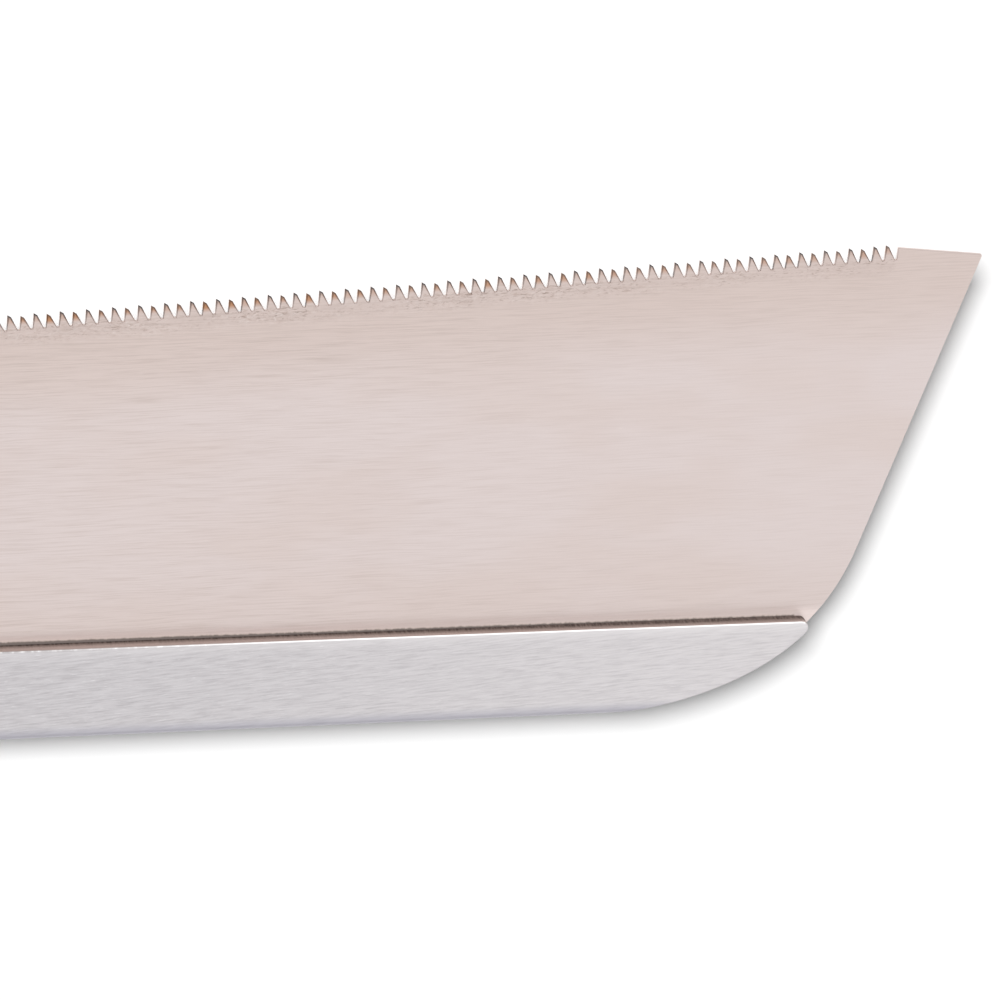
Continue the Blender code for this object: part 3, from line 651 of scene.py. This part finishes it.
def split_ring(bore):
    """The clamped spring washer: a rectangle carried round the bolt, with a narrow split and closed ends."""
    profile = np.array(ring(bore, radius_of("spring_washer"), *span("spring_washer", Z), 3 * EDGE_BREAK))
    a = np.linspace(SPRING_GAP, 2 * np.pi, ROUND_SIDES)[:, None]
    r, z = profile[:, 0], profile[:, 1]
    points = np.stack(np.broadcast_arrays(r * np.cos(a), r * np.sin(a), z), -1).reshape(-1, 3)
    count = len(profile)
    ends = [list(range(count)), list(range(len(points) - count, len(points)))]
    return points, grid(len(a), count, wrap_columns=True).tolist() + ends


def threaded(low, high):
    """The bolt's shank: r = radius - depth * |2 * part - 1|, where part is the share of a turn of thread at
    this angle and height, plain below the nut and pointed at the end."""
    start = span("spring_washer", Z)[1]
    z = np.concatenate([[low, start - THREAD_PITCH], np.linspace(start, high, THREAD_ROWS)])[:, None]
    a = np.linspace(0, 2 * np.pi, THREAD_SIDES, endpoint=False)
    part = ((z - start) / THREAD_PITCH - a / (2 * np.pi)) % 1
    cut_in = np.clip((z - start) / THREAD_PITCH, 0, 1)
    r = BOLT_RADIUS - THREAD_DEPTH * np.abs(2 * part - 1) * cut_in
    r = np.minimum(r, BOLT_RADIUS - THREAD_PITCH + (high - z))
    points = np.stack(np.broadcast_arrays(r * np.cos(a), r * np.sin(a), z), -1).reshape(-1, 3)
    ends = [list(range(THREAD_SIDES))[::-1], list(range(len(points) - THREAD_SIDES, len(points)))]
    return points, grid(len(z), THREAD_SIDES, wrap_columns=True).tolist() + ends


def make_nut(finish):
    """The cast wing nut: a cone and a bar with two round lobes, melted together and softened."""
    foot = span("wing_nut", Z)[0]
    right = np.vstack([[(0, WING_FOOT), (NUT_TOP_RADIUS, WING_FOOT)],
                       arc(WING_LOBE_PLACE, WING_LOBE_RADIUS, *WING_LOBE_TURN, LOBE_STEPS),
                       [(NUT_TOP_RADIUS, NUT_HEIGHT - WING_FOOT)]])
    outline = loop(right, right[::-1] * [-1, 1])
    points, faces = slab([even_rim(outline, WING_ROUND)], WING_HALF, -WING_HALF)
    wings = points[:, [X, Z, Y]] + [0, 0, foot]
    top = foot + NUT_HEIGHT
    cone = [(0, foot), (NUT_BASE_RADIUS - NUT_FOOT_BREAK, foot), (NUT_BASE_RADIUS, foot + NUT_FOOT_BREAK),
            (NUT_TOP_RADIUS + NUT_FLARE, top - NUT_TOP_BREAK), (NUT_TOP_RADIUS - NUT_TOP_BREAK, top),
            (0, top)]
    nut = cut(solid("wing_nut_fine", turned(cone)), (wings, faces), "UNION")
    melt = nut.modifiers.new("melt", "REMESH")
    melt.mode = "VOXEL"
    melt.voxel_size = CAST_GRAIN
    soften = nut.modifiers.new("soften", "SMOOTH")
    soften.iterations = CAST_SOFTENING
    settle(nut)
    cut(nut, turned(barrel(BOLT_RADIUS + HOLE_FIT, 0, 3 * foot)))
    dress(nut, finish, "lock", "bright_steel", "wing_nut")


LIP_END = float(on_toe_curve([SPINE_HEIGHT])[0, X])


class Value:
    """A number on a shader socket. Arithmetic on values adds Math nodes to their tree."""

    def __init__(self, nodes, socket):
        self.nodes = nodes
        self.socket = socket

    def maths(self, operation, *terms):
        return self.nodes.node("ShaderNodeMath", {"operation": operation}, dict(enumerate(terms)))

    def __add__(self, other):
        return self.maths("ADD", self, other)

    def __sub__(self, other):
        return self.maths("SUBTRACT", self, other)

    def __rsub__(self, other):
        return self.maths("SUBTRACT", other, self)

    def __mul__(self, other):
        return self.maths("MULTIPLY", self, other)

    def __truediv__(self, other):
        return self.maths("DIVIDE", self, other)

    def __mod__(self, other):
        return self.maths("FLOORED_MODULO", self, other)

    def __pow__(self, other):
        return self.maths("POWER", self, other)

    __radd__ = __add__
    __rmul__ = __mul__

    def floor(self):
        return self.maths("FLOOR", self)

    def step(self, low, high):
        """Smooth step from 0 at low to 1 at high."""
        sockets = {"Value": self, "From Min": low, "From Max": high}
        return self.nodes.node("ShaderNodeMapRange", {"interpolation_type": "SMOOTHSTEP"}, sockets)


class Nodes:
    """A node tree that grows by whole expressions."""

    def __init__(self, tree):
        self.tree = tree

    def node(self, kind, settings, sockets, output=0):
        """Add a node: its settings first, then a value or a link for each socket. One output comes back."""
        made = self.tree.nodes.new(kind)
        for name, setting in settings.items():
            setattr(made, name, setting)
        for name, value in sockets.items():
            if isinstance(value, Value):
                self.tree.links.new(value.socket, made.inputs[name])
            else:
                made.inputs[name].default_value = value
        return Value(self, made.outputs[output])


class Finish(Nodes):
    """A procedural material on one Principled shader, with its constants set on the shader's own sockets."""

    def __init__(self, name, **constants):
        self.material = bpy.data.materials.new(name)
        self.material.use_nodes = True
        super().__init__(self.material.node_tree)
        self.shader = self.tree.nodes["Principled BSDF"]
        for socket, value in constants.items():
            self.shader.inputs[socket.replace("_", " ").title()].default_value = value

    def place(self):
        """Object coordinates from the pivot, in millimetres."""
        here = self.node("ShaderNodeTexCoord", {}, {}, "Object")
        apart = [self.node("ShaderNodeSeparateXYZ", {}, {0: here}, axis) for axis in (X, Y, Z)]
        return [(value - float(PIVOT[axis])) / MM for axis, value in enumerate(apart)]

    def noise(self, x, y, z, detail=3.0, roughness=0.5, distortion=0.0):
        """Noise over three values, whose cells are one unit wide."""
        where = self.node("ShaderNodeCombineXYZ", {}, {0: x, 1: y, 2: z})
        sockets = {"Vector": where, "Scale": 1.0, "Detail": detail, "Roughness": roughness,
                   "Distortion": distortion}
        return self.node("ShaderNodeTexNoise", {}, sockets)

    def mix(self, share, first, second):
        """Colour between two colours."""
        colours = {6: first, 7: second}
        for key, colour in colours.items():
            colours[key] = colour if isinstance(colour, Value) else (*colour, 1.0)
        return self.node("ShaderNodeMix", {"data_type": "RGBA"}, {0: share, **colours}, 2)

    def bump(self, height, distance):
        """Relief of this many millimetres."""
        sockets = {"Height": height, "Distance": distance * MM, "Strength": 1.0}
        self.feed("Normal", self.node("ShaderNodeBump", {}, sockets))

    def feed(self, socket, value):
        self.tree.links.new(value.socket, self.shader.inputs[socket])


def above_lip(x, y):
    """How far a place on the blade is beyond the lip of the spine, in millimetres."""
    return y - (BACK + SPINE_HEIGHT + LIP_TAPER * LIP_END) / MM + x * LIP_TAPER


def between(value, fade_in, fade_out):
    """A mask that fades in along a value and out again."""
    return value.step(*fade_in) * (1 - value.step(*fade_out))


# Colours of the saw plate
GROUND_STEEL = (0.775, 0.680, 0.662)
STEEL_SHADED_NEAR_EDGES = (0.722, 0.606, 0.566)
CLOUDED_STEEL = (0.742, 0.630, 0.592)
DARK_STREAK = (0.600, 0.500, 0.460)
BRIGHT_SCRATCH = (0.90, 0.82, 0.79)
SCUFF = (0.33, 0.24, 0.20)
GRIME = (0.48, 0.36, 0.31)
RUBBED_STEEL = (0.88, 0.81, 0.78)
PAINTED_SHADE_BY_LIP = (0.56, 0.465, 0.44)
PAINTED_LIP_REFLECTION = (0.52, 0.43, 0.38)
SEAM_SHADOW_AND_DIRT = (0.145, 0.12, 0.11)
TEMPERED_TIP = (0.52, 0.25, 0.12)
SHADED_RIM = (0.06, 0.056, 0.060)

# Where its marks fade, in millimetres: over the tip line, beyond the lip, along the blade, off the middle
NEAR_TEETH = (-16.0, -4.0)
SCUFF_BAND = ((-4.2, -2.4), (-1.8, -1.5))
WORKED_BAND = ((-4.6, -2.6), (-1.6, -1.2))
TOOTH_BODY = (-2.0, -1.8)
TOOTH_FOOT = (-1.3, -0.9)
TEMPER_FADE = (-1.20, -0.40)
NEAR_LIP = (0.0, 12.0)
SHADE_BY_LIP_FADE = (0.2, 1.8)
DULLED = (0.30, 1.40)
LIP_REFLECTION_FADE = (0.10, 0.45)
SEAM_SHADOW_FADE = (0.02, 0.26)
PLATE_TOEWARD = (170.0, 275.0)
PLATE_HEELWARD = (150.0, 200.0)
TEETH_END = (TOOTHED_LENGTH / MM - 0.3, TOOTHED_LENGTH / MM)
LIP_MARKS_END = (LIP_END / MM - 2.7, LIP_END / MM - 2.3)
PLATE_RIM = (PLATE_HALF / MM - 0.17, PLATE_HALF / MM - 0.02)


def plate_finish():
    """Thin tool steel, ground lengthwise: warm, faintly mottled, with painted shade towards the teeth and the
    lip, scuffed along the gullets, with tempered tips, and along the lip of the spine a painted reflection of
    the lip, painted shade and a painted contact shadow with dirt."""
    f = Finish("ground_plate_steel")
    x, y, z = f.place()
    tip_x, tip_y = (FIRST_TIP / MM).tolist()
    c, s = TOOTH_DIRECTION.tolist()
    along = (x - tip_x) * c + (y - tip_y) * s
    height = (y - tip_y) * c - (x - tip_x) * s
    over_lip = above_lip(x, y)
    toe = x.step(*PLATE_TOEWARD)
    toothed = 1 - along.step(*TEETH_END)
    # Ground steel with lengthwise streaks and scratches, and painted shade towards the teeth and the lip
    wander = f.noise(x * 0.06, y * 0.12, z * 0.02, detail=2.0)
    across = y * 5.0 - x * 0.06 + wander * 4.0
    streak = f.noise(x * 0.14, across, z * 0.5, detail=4.0, roughness=0.65)
    fine = f.noise(x * 0.45, across * 2.2, z, roughness=0.6)
    cloud = f.noise(along * 0.045, height * 0.09, z * 0.02, detail=2.0)
    # Painted shade: the plate darker towards the teeth and the lip
    edges = height.step(*NEAR_TEETH) + (1 - over_lip.step(*NEAR_LIP)) * 0.45
    colour = f.mix(edges, GROUND_STEEL, STEEL_SHADED_NEAR_EDGES)
    colour = f.mix(cloud.step(0.42, 0.66) * 0.5, colour, CLOUDED_STEEL)
    colour = f.mix(streak.step(0.38, 0.85) * (0.64 + edges * 0.50 - toe * 0.4), colour, DARK_STREAK)
    colour = f.mix(fine.step(0.62, 0.85) * (0.75 - toe * 0.4), colour, BRIGHT_SCRATCH)
    # Scuffs and grime under the gullets
    band = between(height, *SCUFF_BAND) * toothed
    scuff = f.noise(along * 1.1, height * 5.0, z, detail=4.0, roughness=0.7, distortion=0.6).step(0.54, 0.66)
    patch = f.noise(along * 0.11, height * 0.3, z * 0.1, detail=2.0).step(0.35, 0.65)
    colour = f.mix(band * scuff * (0.25 + patch * 0.65), colour, SCUFF)
    worked = between(height, *WORKED_BAND) * toothed * (1 - toe * 0.6)
    grime = f.noise(along * 0.9, height * 1.8, z, detail=5.0, roughness=0.75, distortion=1.2)
    colour = f.mix(worked * grime.step(0.50, 0.72) * (0.15 + patch * 0.7), colour, GRIME)
    colour = f.mix(worked * (1 - grime.step(0.30, 0.48)) * (0.2 + patch * 0.4), colour, RUBBED_STEEL)
    # Painted reflection of the lip, painted shade and a painted contact shadow with dirt along the lip
    ragged = f.noise(x * 2.0, y, z, detail=4.0, roughness=0.7)
    on_lip = 1 - x.step(*LIP_MARKS_END)
    heelward = 1 - x.step(*PLATE_HEELWARD)
    far = over_lip + (ragged - 0.5) * 0.4 - 0.10 + toe * 0.20 - heelward * 0.12
    # Painted reflection of the lip's face in the plate: a brownish strip beyond the seam
    lip_reflection = (1 - far.step(*LIP_REFLECTION_FADE)) * on_lip
    # Painted contact shadow, with some dirt, in the seam against the lip
    seam_shadow_and_dirt = (1 - far.step(*SEAM_SHADOW_FADE)) * on_lip
    dull = 1 - over_lip.step(*DULLED)
    # Painted shade on the plate just beyond the lip
    colour = f.mix((1 - over_lip.step(*SHADE_BY_LIP_FADE)) * (0.75 - toe * 0.6), colour, PAINTED_SHADE_BY_LIP)
    colour = f.mix(lip_reflection * 0.7, colour, PAINTED_LIP_REFLECTION)
    colour = f.mix(seam_shadow_and_dirt * 0.95, colour, SEAM_SHADOW_AND_DIRT)
    # Tempered tips and shaded rims of the teeth, told apart by the tooth's number and the part of its pitch
    number = (along / (TOOTH_PITCH / MM)).floor()
    part = along / (TOOTH_PITCH / MM) - number
    odd = number % 2.0
    chance = f.node("ShaderNodeTexWhiteNoise", {"noise_dimensions": "1D"}, {"W": number})
    below_tip = height + odd * (LOW_TOOTH / MM)
    temper = (below_tip + chance * 0.4 - 0.1).step(*TEMPER_FADE) * (0.16 + odd * 0.54 + chance * 0.28)
    colour = f.mix(temper * toothed * (1 - toe * 0.5), colour, TEMPERED_TIP)
    rim = (1 - z.step(*PLATE_RIM)) * height.step(*TOOTH_BODY)
    facet = between(part, (0.07, 0.11), (0.50, 0.75)) * (1 - odd * 0.3)
    foot = (1 - part.step(0.05, 0.14)) * (1 - height.step(*TOOTH_FOOT)) * chance.step(0.4, 0.8)
    colour = f.mix(rim * (facet + foot) * toothed, colour, SHADED_RIM)
    f.feed("Base Color", colour)
    f.feed("Metallic", 1 - lip_reflection * 0.25 - dull * 0.6)
    f.feed("Roughness", 0.30 + streak * 0.10 + band * 0.06 + lip_reflection * 0.3)
    f.bump(streak * 0.7 + fine * 0.3 - band * scuff * 0.5, 0.005)
    return f.material


# Colours of the folded spine; the pairs for the painted contact shade with dirt and for the beige part of its
# sheared edge
SPINE_STEEL = (0.675, 0.650, 0.667)
SPINE_STEEL_PAINTED_LIT = (0.775, 0.742, 0.752)
SPINE_STREAK = (0.48, 0.455, 0.47)
SPINE_SCRATCH = (0.90, 0.88, 0.89)
PAINTED_SHADE_IN_BEND = (0.59, 0.58, 0.645)
STEEL_BY_LIP = (0.86, 0.83, 0.835)
SHEARED_SHADE_AND_DIRT = ((0.155, 0.127, 0.118), (0.31, 0.26, 0.24))
SHEARED_BEIGE = ((0.42, 0.35, 0.325), (0.76, 0.66, 0.625))
WORN_EDGE = (0.40, 0.37, 0.36)
PAINTED_EDGE_HIGHLIGHT = (0.93, 0.92, 0.91)

# Where its marks fade, in millimetres: over the back, from the lip, off the middle plane and along the blade
SHADED_BEND = (0.8, 2.3)
BY_LIP = (-1.8, -0.1)
SHEARED = (-1.4, -1.0)
WORN_STRIP = (-0.30, -0.18)
HIGHLIGHT_STRIP = (-0.26, -0.20)
SHADE_TO_BEIGE = (0.38, 0.70)
BEIGE_TO_PALE = (0.60, 1.35)
SHADE_GROWS_TOEWARD = (165.0, 250.0)
SPINE_PAINTED_LIGHT_TOEWARD = (150.0, 275.0)
RUBBED_LENGTH = ((60.0, 90.0), (150.0, 205.0))
# Squared height of the surface normal on the lip's wall and on its round edge
WALL_FACING = (0.05, 0.3)
HIGHLIGHT_FACING = ((0.10, 0.25), (0.88, 0.97))


def spine_finish():
    """Mild steel sheet, brushed lengthwise and folded at the back, with painted light toward the toe, painted
    shade in the fold, a beige sheared edge along the lip with painted contact shade and dirt by the plate,
    and a painted highlight along that edge."""
    f = Finish("brushed_spine_steel")
    x, y, z = f.place()
    rise = y - BACK / MM
    side = (z * z) ** 0.5
    over_lip = above_lip(x, y)
    facing = f.node("ShaderNodeTexCoord", {}, {}, "Normal")
    upright = f.node("ShaderNodeSeparateXYZ", {}, {0: facing}, Z)
    flat = upright * upright
    # toe: painted light, the spine brighter toward the toe
    toe = x.step(*SPINE_PAINTED_LIGHT_TOEWARD)
    # Brushed steel with painted light toward the toe, painted shade in the bend, and brighter by the lip
    wander = f.noise(x * 0.05, rise * 0.15, z * 0.1, detail=2.0)
    across = rise * 4.2 - x * 0.32 + wander * 4.0
    streak = f.noise(x * 0.30, across, z * 1.5, detail=5.0, roughness=0.68)
    fine = f.noise(x * 0.8, across * 2.2, z * 4.0, roughness=0.6)
    # Painted shade, darker and bluer, over the fold's round
    shaded_bend = 1 - rise.step(*SHADED_BEND)
    colour = f.mix(toe, SPINE_STEEL, SPINE_STEEL_PAINTED_LIT)
    colour = f.mix(streak.step(0.35, 0.80) * (0.9 - toe * 0.4), colour, SPINE_STREAK)
    colour = f.mix(fine.step(0.58, 0.80) * (0.9 - toe * 0.5), colour, SPINE_SCRATCH)
    colour = f.mix(shaded_bend * 0.7, colour, PAINTED_SHADE_IN_BEND)
    colour = f.mix(over_lip.step(*BY_LIP) * (0.30 + toe * 0.3), colour, STEEL_BY_LIP)
    # Sheared edge: painted contact shade with dirt by the plate, beige outside
    lip = over_lip.step(*SHEARED) * (1 - flat.step(*WALL_FACING))
    sheared = f.noise(x * 4.5, rise, side * 0.8, roughness=0.65)
    # dark: painted contact shade with dirt on the wall's foot by the plate
    dark = f.mix(sheared.step(0.35, 0.65), *SHEARED_SHADE_AND_DIRT)
    off_plate = side + (sheared - 0.5) * 0.5 - x.step(*SHADE_GROWS_TOEWARD) * 0.45
    beige = f.mix(off_plate.step(*BEIGE_TO_PALE), *SHEARED_BEIGE)
    brown = f.mix(off_plate.step(*SHADE_TO_BEIGE), dark, beige)
    # Round of the edge: a painted highlight, broken by wear where it was rubbed
    rubbed = between(x, *RUBBED_LENGTH)
    worn = f.noise(x * 1.1, 0.0, 0.0, detail=4.0, roughness=0.7).step(0.40, 0.52) * rubbed
    worn = worn * over_lip.step(*WORN_STRIP)
    colour = f.mix(worn * 0.5, colour, WORN_EDGE)
    # edge: painted highlight along the lip's round edge
    edge = over_lip.step(*HIGHLIGHT_STRIP) * between(flat, *HIGHLIGHT_FACING)
    edge = edge * (1 - rubbed * 0.5) * (1 - worn * 0.8)
    colour = f.mix(edge, f.mix(lip, colour, brown), PAINTED_EDGE_HIGHLIGHT)
    f.feed("Base Color", colour)
    f.feed("Metallic", 1 - edge * 0.9)
    f.feed("Roughness", 0.27 + streak * 0.12 + lip * 0.25 + shaded_bend * 0.3)
    f.bump(streak * 0.6 + fine * 0.4, 0.006)
    return f.material


ALONG_X = (0.15, 4.0, 4.0)
TURNED = (1.5, 1.5, 1.5)
PLATED = (1.0, 1.0, 1.0)


def metal_finish(name, colour, darker, roughness, cells=ALONG_X):
    """A plain metal with fine brushing, so many cells to a millimetre along x, y and z, and a faint cloud of
    handling marks."""
    f = Finish(name, metallic=1.0)
    x, y, z = f.place()
    brushed = f.noise(x * cells[X], y * cells[Y], z * cells[Z], detail=4.0, roughness=0.6)
    cloud = f.noise(x * 0.06, y * 0.09, z * 0.09)
    f.feed("Base Color", f.mix(brushed.step(0.3, 0.75) * 0.5 + cloud.step(0.4, 0.75) * 0.4, colour, darker))
    f.feed("Roughness", roughness - 0.06 + brushed * 0.12 + cloud * 0.06)
    f.bump(brushed, 0.006)
    return f.material


PALE_WOOD = (0.36, 0.155, 0.066)
DARK_WOOD = (0.215, 0.080, 0.032)
FIGURED_WOOD = (0.29, 0.112, 0.044)
WOOD_PORE = (0.085, 0.030, 0.014)


def wood_finish():
    """Oiled hardwood: long figure along the handle, growth rings across it and short dark pores."""
    f = Finish("oiled_hardwood", coat_weight=0.12, coat_roughness=0.35)
    x, y, z = f.place()
    bend = f.noise(x * 0.012, y * 0.05, z * 0.05)
    rings = f.noise(x * 0.004 + 7.0, y * 0.34 + bend * 5.0, z * 0.34 + bend * 3.0, roughness=0.6)
    figure = f.noise(x * 0.05, y * 1.6, z * 1.6, detail=4.0, roughness=0.6)
    pores = f.noise(x * 0.32, y * 5.5, z * 5.5, detail=2.0).step(0.60, 0.72)
    colour = f.mix(rings.step(0.32, 0.66), PALE_WOOD, DARK_WOOD)
    colour = f.mix(figure.step(0.35, 0.72) * 0.5, colour, FIGURED_WOOD)
    colour = f.mix(pores * 0.7, colour, WOOD_PORE)
    f.feed("Base Color", colour)
    f.feed("Roughness", 0.40 + figure * 0.12 + pores * 0.15)
    f.bump(figure * 0.3 - pores, 0.03)
    return f.material


FINISHES = {
    "liner_steel": metal_finish("satin_liner_steel", (0.58, 0.58, 0.59), (0.46, 0.46, 0.47), 0.34),
    "tool_steel": metal_finish("ground_tool_steel", (0.42, 0.42, 0.44), (0.30, 0.30, 0.32), 0.38),
    "bright_steel": metal_finish("plated_steel", (0.66, 0.66, 0.67), (0.56, 0.56, 0.58), 0.24, PLATED),
    "light_metal": metal_finish("satin_light_metal", (0.70, 0.71, 0.72), (0.58, 0.59, 0.60), 0.36),
    "brass": metal_finish("polished_brass", (0.78, 0.57, 0.23), (0.66, 0.46, 0.18), 0.26, TURNED),
    "bronze": metal_finish("turned_bronze", (0.62, 0.42, 0.20), (0.50, 0.32, 0.15), 0.34, TURNED),
    "hardwood": wood_finish(),
}


# Camera: the picture is FRAME pixels square, its focal length is in pixels, its tilts are from straight down
FRAME = 1000
FOCAL = 6000
CAMERA_TO_TEETH = np.radians(28)
CAMERA_TO_HANDLE = np.radians(13.73)
CAMERA_ROLL = np.radians(5.16)
CAMERA_DISTANCE = 0.7044
TOE_PIXEL = (982.6, 254.6)
SENSOR = 36.0
CLIP_START = 0.01


def set_camera():
    """A long lens over the toe, tilted to the teeth and to the handle, so that the toe falls on its pixel."""
    back = np.array([
        -np.sin(CAMERA_TO_HANDLE),
        np.sin(CAMERA_TO_TEETH) * np.cos(CAMERA_TO_HANDLE),
        np.cos(CAMERA_TO_TEETH) * np.cos(CAMERA_TO_HANDLE),
    ])
    level_up = np.array([0, 1, 0]) - back * back[Y]
    level_up /= np.linalg.norm(level_up)
    level_right = np.cross(level_up, back)
    c, s = np.cos(CAMERA_ROLL), np.sin(CAMERA_ROLL)
    right, up = c * level_right + s * level_up, c * level_up - s * level_right
    ray = (TOE_PIXEL[0] - FRAME / 2) / FOCAL * right + (FRAME / 2 - TOE_PIXEL[1]) / FOCAL * up - back
    toe = PIVOT + [*TOE_CORNER, PLATE_HALF]
    eye = toe + ray / ray[Z] * CAMERA_DISTANCE * back[Z]
    data = bpy.data.cameras.new("camera")
    data.sensor_width = SENSOR
    data.lens = FOCAL / FRAME * SENSOR
    data.clip_start = CLIP_START
    camera = bpy.data.objects.new("camera", data)
    matrix = np.eye(4)
    matrix[:3] = np.column_stack([right, up, back, eye])
    camera.matrix_world = Matrix(matrix.tolist())
    bpy.context.scene.collection.objects.link(camera)
    bpy.context.scene.camera = camera


# Light: a white floor, the key's slant from the vertical to the handle's side and to the teeth's side
FLOOR_SIZE = 40.0
FLOOR_DEPTH = 0.02
FLOOR_WHITE = (0.82, 0.82, 0.82, 1.0)
KEY_TILT = (np.radians(22.3), np.radians(33.4))
KEY_STRENGTH = 4.3
KEY_ANGLE = np.radians(15.0)
WHITE = (1.0, 1.0, 1.0, 1.0)
ROOM_GREY = 0.24
BACKDROP = 1.0
# The room that the metal mirrors: its glow at the horizon, and what it gains to the top and to the toe's side
MIRRORED_GLOW = 0.35
MIRRORED_GAIN_UP = 0.72
MIRRORED_GAIN_X = 0.12


def set_floor():
    """A plain white floor under the saw."""
    corners = FLOOR_SIZE / 2 * np.array([(-1, -1), (1, -1), (1, 1), (-1, 1)])
    floor = solid("floor", slab([even_rim(corners, 0)], 0.0, -FLOOR_DEPTH, steps=1), np.zeros(3))
    white = Finish("white_floor", base_color=FLOOR_WHITE, roughness=1.0)
    floor.data.materials.append(white.material)


def set_room():
    """A plain room that the metal mirrors brighter than it lights the floor, so that shadows stay dark, and
    that the camera sees white."""
    world = bpy.data.worlds.new("room")
    world.use_nodes = True
    world.cycles.sampling_method = "NONE"
    n = Nodes(world.node_tree)
    mirrored_ray, camera_ray = (n.node("ShaderNodeLightPath", {}, {}, ray)
                                for ray in ("Is Glossy Ray", "Is Camera Ray"))
    way = n.node("ShaderNodeTexCoord", {}, {}, "Generated")
    to_x, up = (n.node("ShaderNodeSeparateXYZ", {}, {0: way}, axis) for axis in (X, Z))
    glow = MIRRORED_GLOW + up * MIRRORED_GAIN_UP + to_x * MIRRORED_GAIN_X
    room, mirrored, backdrop = (n.node("ShaderNodeBackground", {}, {"Color": WHITE, "Strength": strength})
                                for strength in (ROOM_GREY, glow, BACKDROP))
    seen = n.node("ShaderNodeMixShader", {}, {0: mirrored_ray, 1: room, 2: mirrored})
    seen = n.node("ShaderNodeMixShader", {}, {0: camera_ray, 1: seen, 2: backdrop})
    n.tree.links.new(seen.socket, n.tree.nodes["World Output"].inputs["Surface"])
    bpy.context.scene.world = world


def set_key():
    """A soft key from the handle's and the teeth's side, which the metal doesn't mirror."""
    key = bpy.data.lights.new("key", "SUN")
    key.energy = KEY_STRENGTH
    key.angle = KEY_ANGLE
    lamp = bpy.data.objects.new("key", key)
    to_key = Vector((-np.tan(KEY_TILT[X]), np.tan(KEY_TILT[Y]), 1))
    lamp.rotation_euler = to_key.to_track_quat("Z", "Y").to_euler()
    lamp.visible_glossy = False
    bpy.context.scene.collection.objects.link(lamp)


set_camera()
set_floor()
set_room()
set_key()
bpy.context.scene.view_settings.view_transform = "Standard"
make_plate(plate_finish())
make_spine(spine_finish())
make_handle(FINISHES)
make_pivot(FINISHES)
make_nut(FINISHES["bright_steel"])
